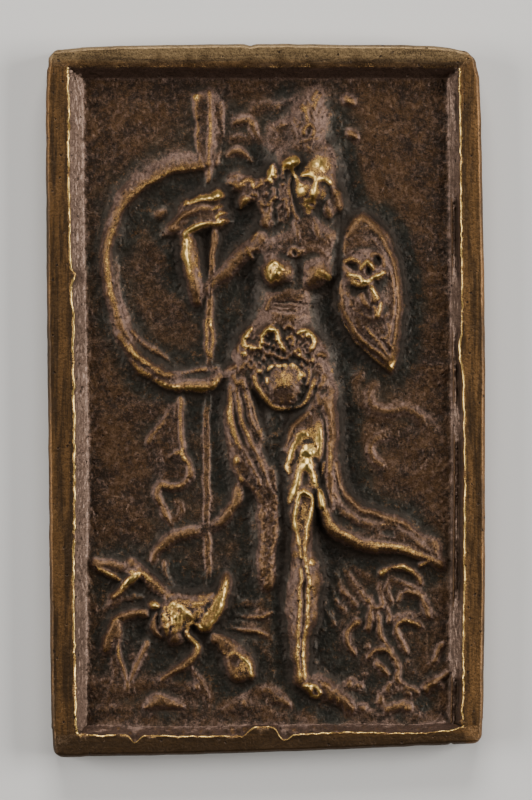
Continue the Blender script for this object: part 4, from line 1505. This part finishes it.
# Brown patina: mottled on the field, greenish where it lies deep, mauve on slopes, warmer on crests
broad = noise(place, 3.5, 3.0, 0.5)
mottle = noise(place, 0.7, 6.0, 0.75)
grit = noise(place, 0.16, 3.0, 0.6)
grain = noise(place, 0.07, 2.0, 0.6)
speck = noise(place, 0.36, 4.0, 0.65)
patches = mottle + 0.4 * (broad - 0.5) + 0.3 * (grain - 0.5)
patina = mixed(between(patches, 0.38, 0.62), DARK_BROWN, FIELD_BROWN)
patina = mixed(between(grit + 0.5 * (speck - 0.5), 0.52, 0.72) * 0.45, patina, WARM_BROWN)
deep = between(hollow + 0.6 * (mottle - 0.5), 0.1, 0.5)
patina = mixed(deep * between(speck + 0.7 * (grain - 0.5), 0.75, 0.52) * 0.9, patina, HOLLOW_GREEN)
patina = mixed(between(hollow + 0.4 * (speck - 0.5), 0.45, 1.0) * 0.75, patina, DEEP_GREEN)
flank = attribute("steep") + 1.2 * (grit - 0.5) + (grain - 0.5) + 0.6 * (speck - 0.5)
flank = between(flank, 0.1, 0.75) * between(stand, -1.0, -0.1)
patina = mixed(flank * (0.9 - 0.75 * deep), patina, FLANK_MAUVE)
foot = between(stand + 0.9 * (speck - 0.5), -0.1, -0.8)
bevel = attribute("bevel") * (0.2 + speck + 0.7 * (grain - 0.5) - 0.4 * foot)
patina = mixed(bevel, patina, BEVEL_MAUVE)
patina = mixed(foot * 0.6, patina, DARK_BROWN)
warm = between(stand + 0.6 * rub + 0.6 * (speck - 0.5) + (grain - 0.5), 0.15, 0.75)
patina = mixed(warm * (0.8 - 0.5 * deep), patina, WARM_BROWN)

# Border: brown gold, streaked along each side by the file and by handling
streak = noise(stretched, 0.3, 4.0, 0.6)
edge_metal = mixed(between(streak, 0.42, 0.62), STREAK_BROWN, BORDER_BROWN)
edge_metal = mixed(between(broad + 0.3 * (speck - 0.5), 0.5, 0.7) * 0.35, edge_metal, STREAK_BROWN)
top = between(up, 33.5, 34.6) * between(streak + 0.4 * (grain - 0.5), 0.2, 0.6)
edge_metal = mixed(top, edge_metal, TOP_BROWN)
edge_metal = mixed(between(up + 0.5 * (speck - 0.5), -32.6, -34.2) * 0.9, edge_metal, STREAK_BROWN)
edge_metal = mixed(between(right, 19.6, 20.6) * between(streak, 0.3, 0.6) * 0.45, edge_metal, RIGHT_BROWN)
patina = mixed(border, patina, edge_metal)

# Rubbed metal breaks through where the crests are handled, speckled with what is left of the brown
reach = rub + 0.3 * (stand - 0.4) + (speck - 0.5) + (grain - 0.5)
bare = between(reach, 0.3, 0.7)
gold = mixed(between(reach, 0.5, 1.0), GOLD_DEEP, GOLD)

# Pinholes of the casting, and dirt in its finest grain
pits = add_node("TexVoronoi", {"feature": "F1"}, Vector=place, Scale=0.9, Randomness=1.0)
pit = between(pits + 0.25 * (grit - 0.5), 0.15, 0.08)
dirt = between(grain + 0.6 * (grit - 0.5), 0.55, 0.35) * (0.5 - 0.3 * bare)
colour = mixed(bare, patina, gold)
colour = mixed(pit * 0.8, colour, DARK_BROWN)
colour = mixed(dirt, colour, DARK_BROWN)

bumps = (1.0 - 0.6 * bare) * (0.6 * grit + 0.8 * speck) - 0.8 * pit
fine = add_node("Bump", Strength=1.0, Distance=0.1 * MM, Height=bumps)
file_marks = add_node("Bump", Strength=0.6, Distance=0.04 * MM, Height=streak * border, Normal=fine)

surface = add_node(
    "BsdfPrincipled",
    Base_Color=colour,
    Metallic=0.75 + 0.25 * bare,
    Roughness=0.46 - 0.08 * bare + 0.2 * (grit - 0.5) + 0.2 * foot,
    Normal=file_marks,
)
add_node("OutputMaterial", Surface=surface)
mesh.materials.append(bronze)


# The studio: a plain pale table, low light from the two sides and the top, and a camera straight above.
# The light grazes the relief, as in the photograph, so that every ridge catches it.

# Metres for the floor and the lamps, millimetres for the camera
FLOOR_HALF = 1.2
VIEW_TALL = 80.0
CAMERA_ABOVE = 600.0
SENSOR = 24.0
CENTRE = (0.04, 0.04)
PAPER = (0.62, 0.60, 0.57, 1)
WORLD_COLOUR = (1.0, 0.97, 0.93, 1)
WORLD_LIGHT = 0.05

floor_mesh = bpy.data.meshes.new("floor")
corners = [(x * FLOOR_HALF, y * FLOOR_HALF, 0) for x, y in ((-1, -1), (1, -1), (1, 1), (-1, 1))]
floor_mesh.from_pydata(corners, [], [(0, 1, 2, 3)])
floor = placed("floor", floor_mesh)
paper = bpy.data.materials.new("pale_paper")
paper.use_nodes = True
paper_surface = paper.node_tree.nodes["Principled BSDF"].inputs
paper_surface["Base Color"].default_value = PAPER
paper_surface["Roughness"].default_value = 0.85
floor_mesh.materials.append(paper)

world = bpy.data.worlds.new("studio")
world.use_nodes = True
sky = world.node_tree.nodes["Background"].inputs
sky["Color"].default_value = WORLD_COLOUR
sky["Strength"].default_value = WORLD_LIGHT
bpy.context.scene.world = world


def lamp(name, at, aim, width, tall, power):
    """A soft box lamp at a place, turned to face a point, both in metres."""
    light = bpy.data.lights.new(name, "AREA")
    light.shape = "RECTANGLE"
    light.size, light.size_y = width, tall
    light.energy = power
    made = placed(name, light)
    made.location = at
    made.rotation_euler = (Vector(aim) - Vector(at)).to_track_quat("-Z", "Y").to_euler()


lamp("left_light", (-0.5, 0.04, 0.3), (0, 0, 0), 0.3, 0.3, 3.0)
lamp("right_light", (0.5, 0.04, 0.3), (0, 0, 0), 0.3, 0.3, 4.2)
lamp("top_light", (0.0, 0.55, 0.35), (0, 0, 0), 0.35, 0.25, 4.0)

camera_data = bpy.data.cameras.new("camera")
camera_data.sensor_fit = "VERTICAL"
camera_data.sensor_height = SENSOR
camera_data.lens = SENSOR * CAMERA_ABOVE / VIEW_TALL
camera = placed("camera", camera_data)
camera.location = (
    (CENTRE[0] - centre_x) * MM,
    (CENTRE[1] - centre_y) * MM,
    (BORDER_Z + CAMERA_ABOVE) * MM,
)
bpy.context.scene.camera = camera
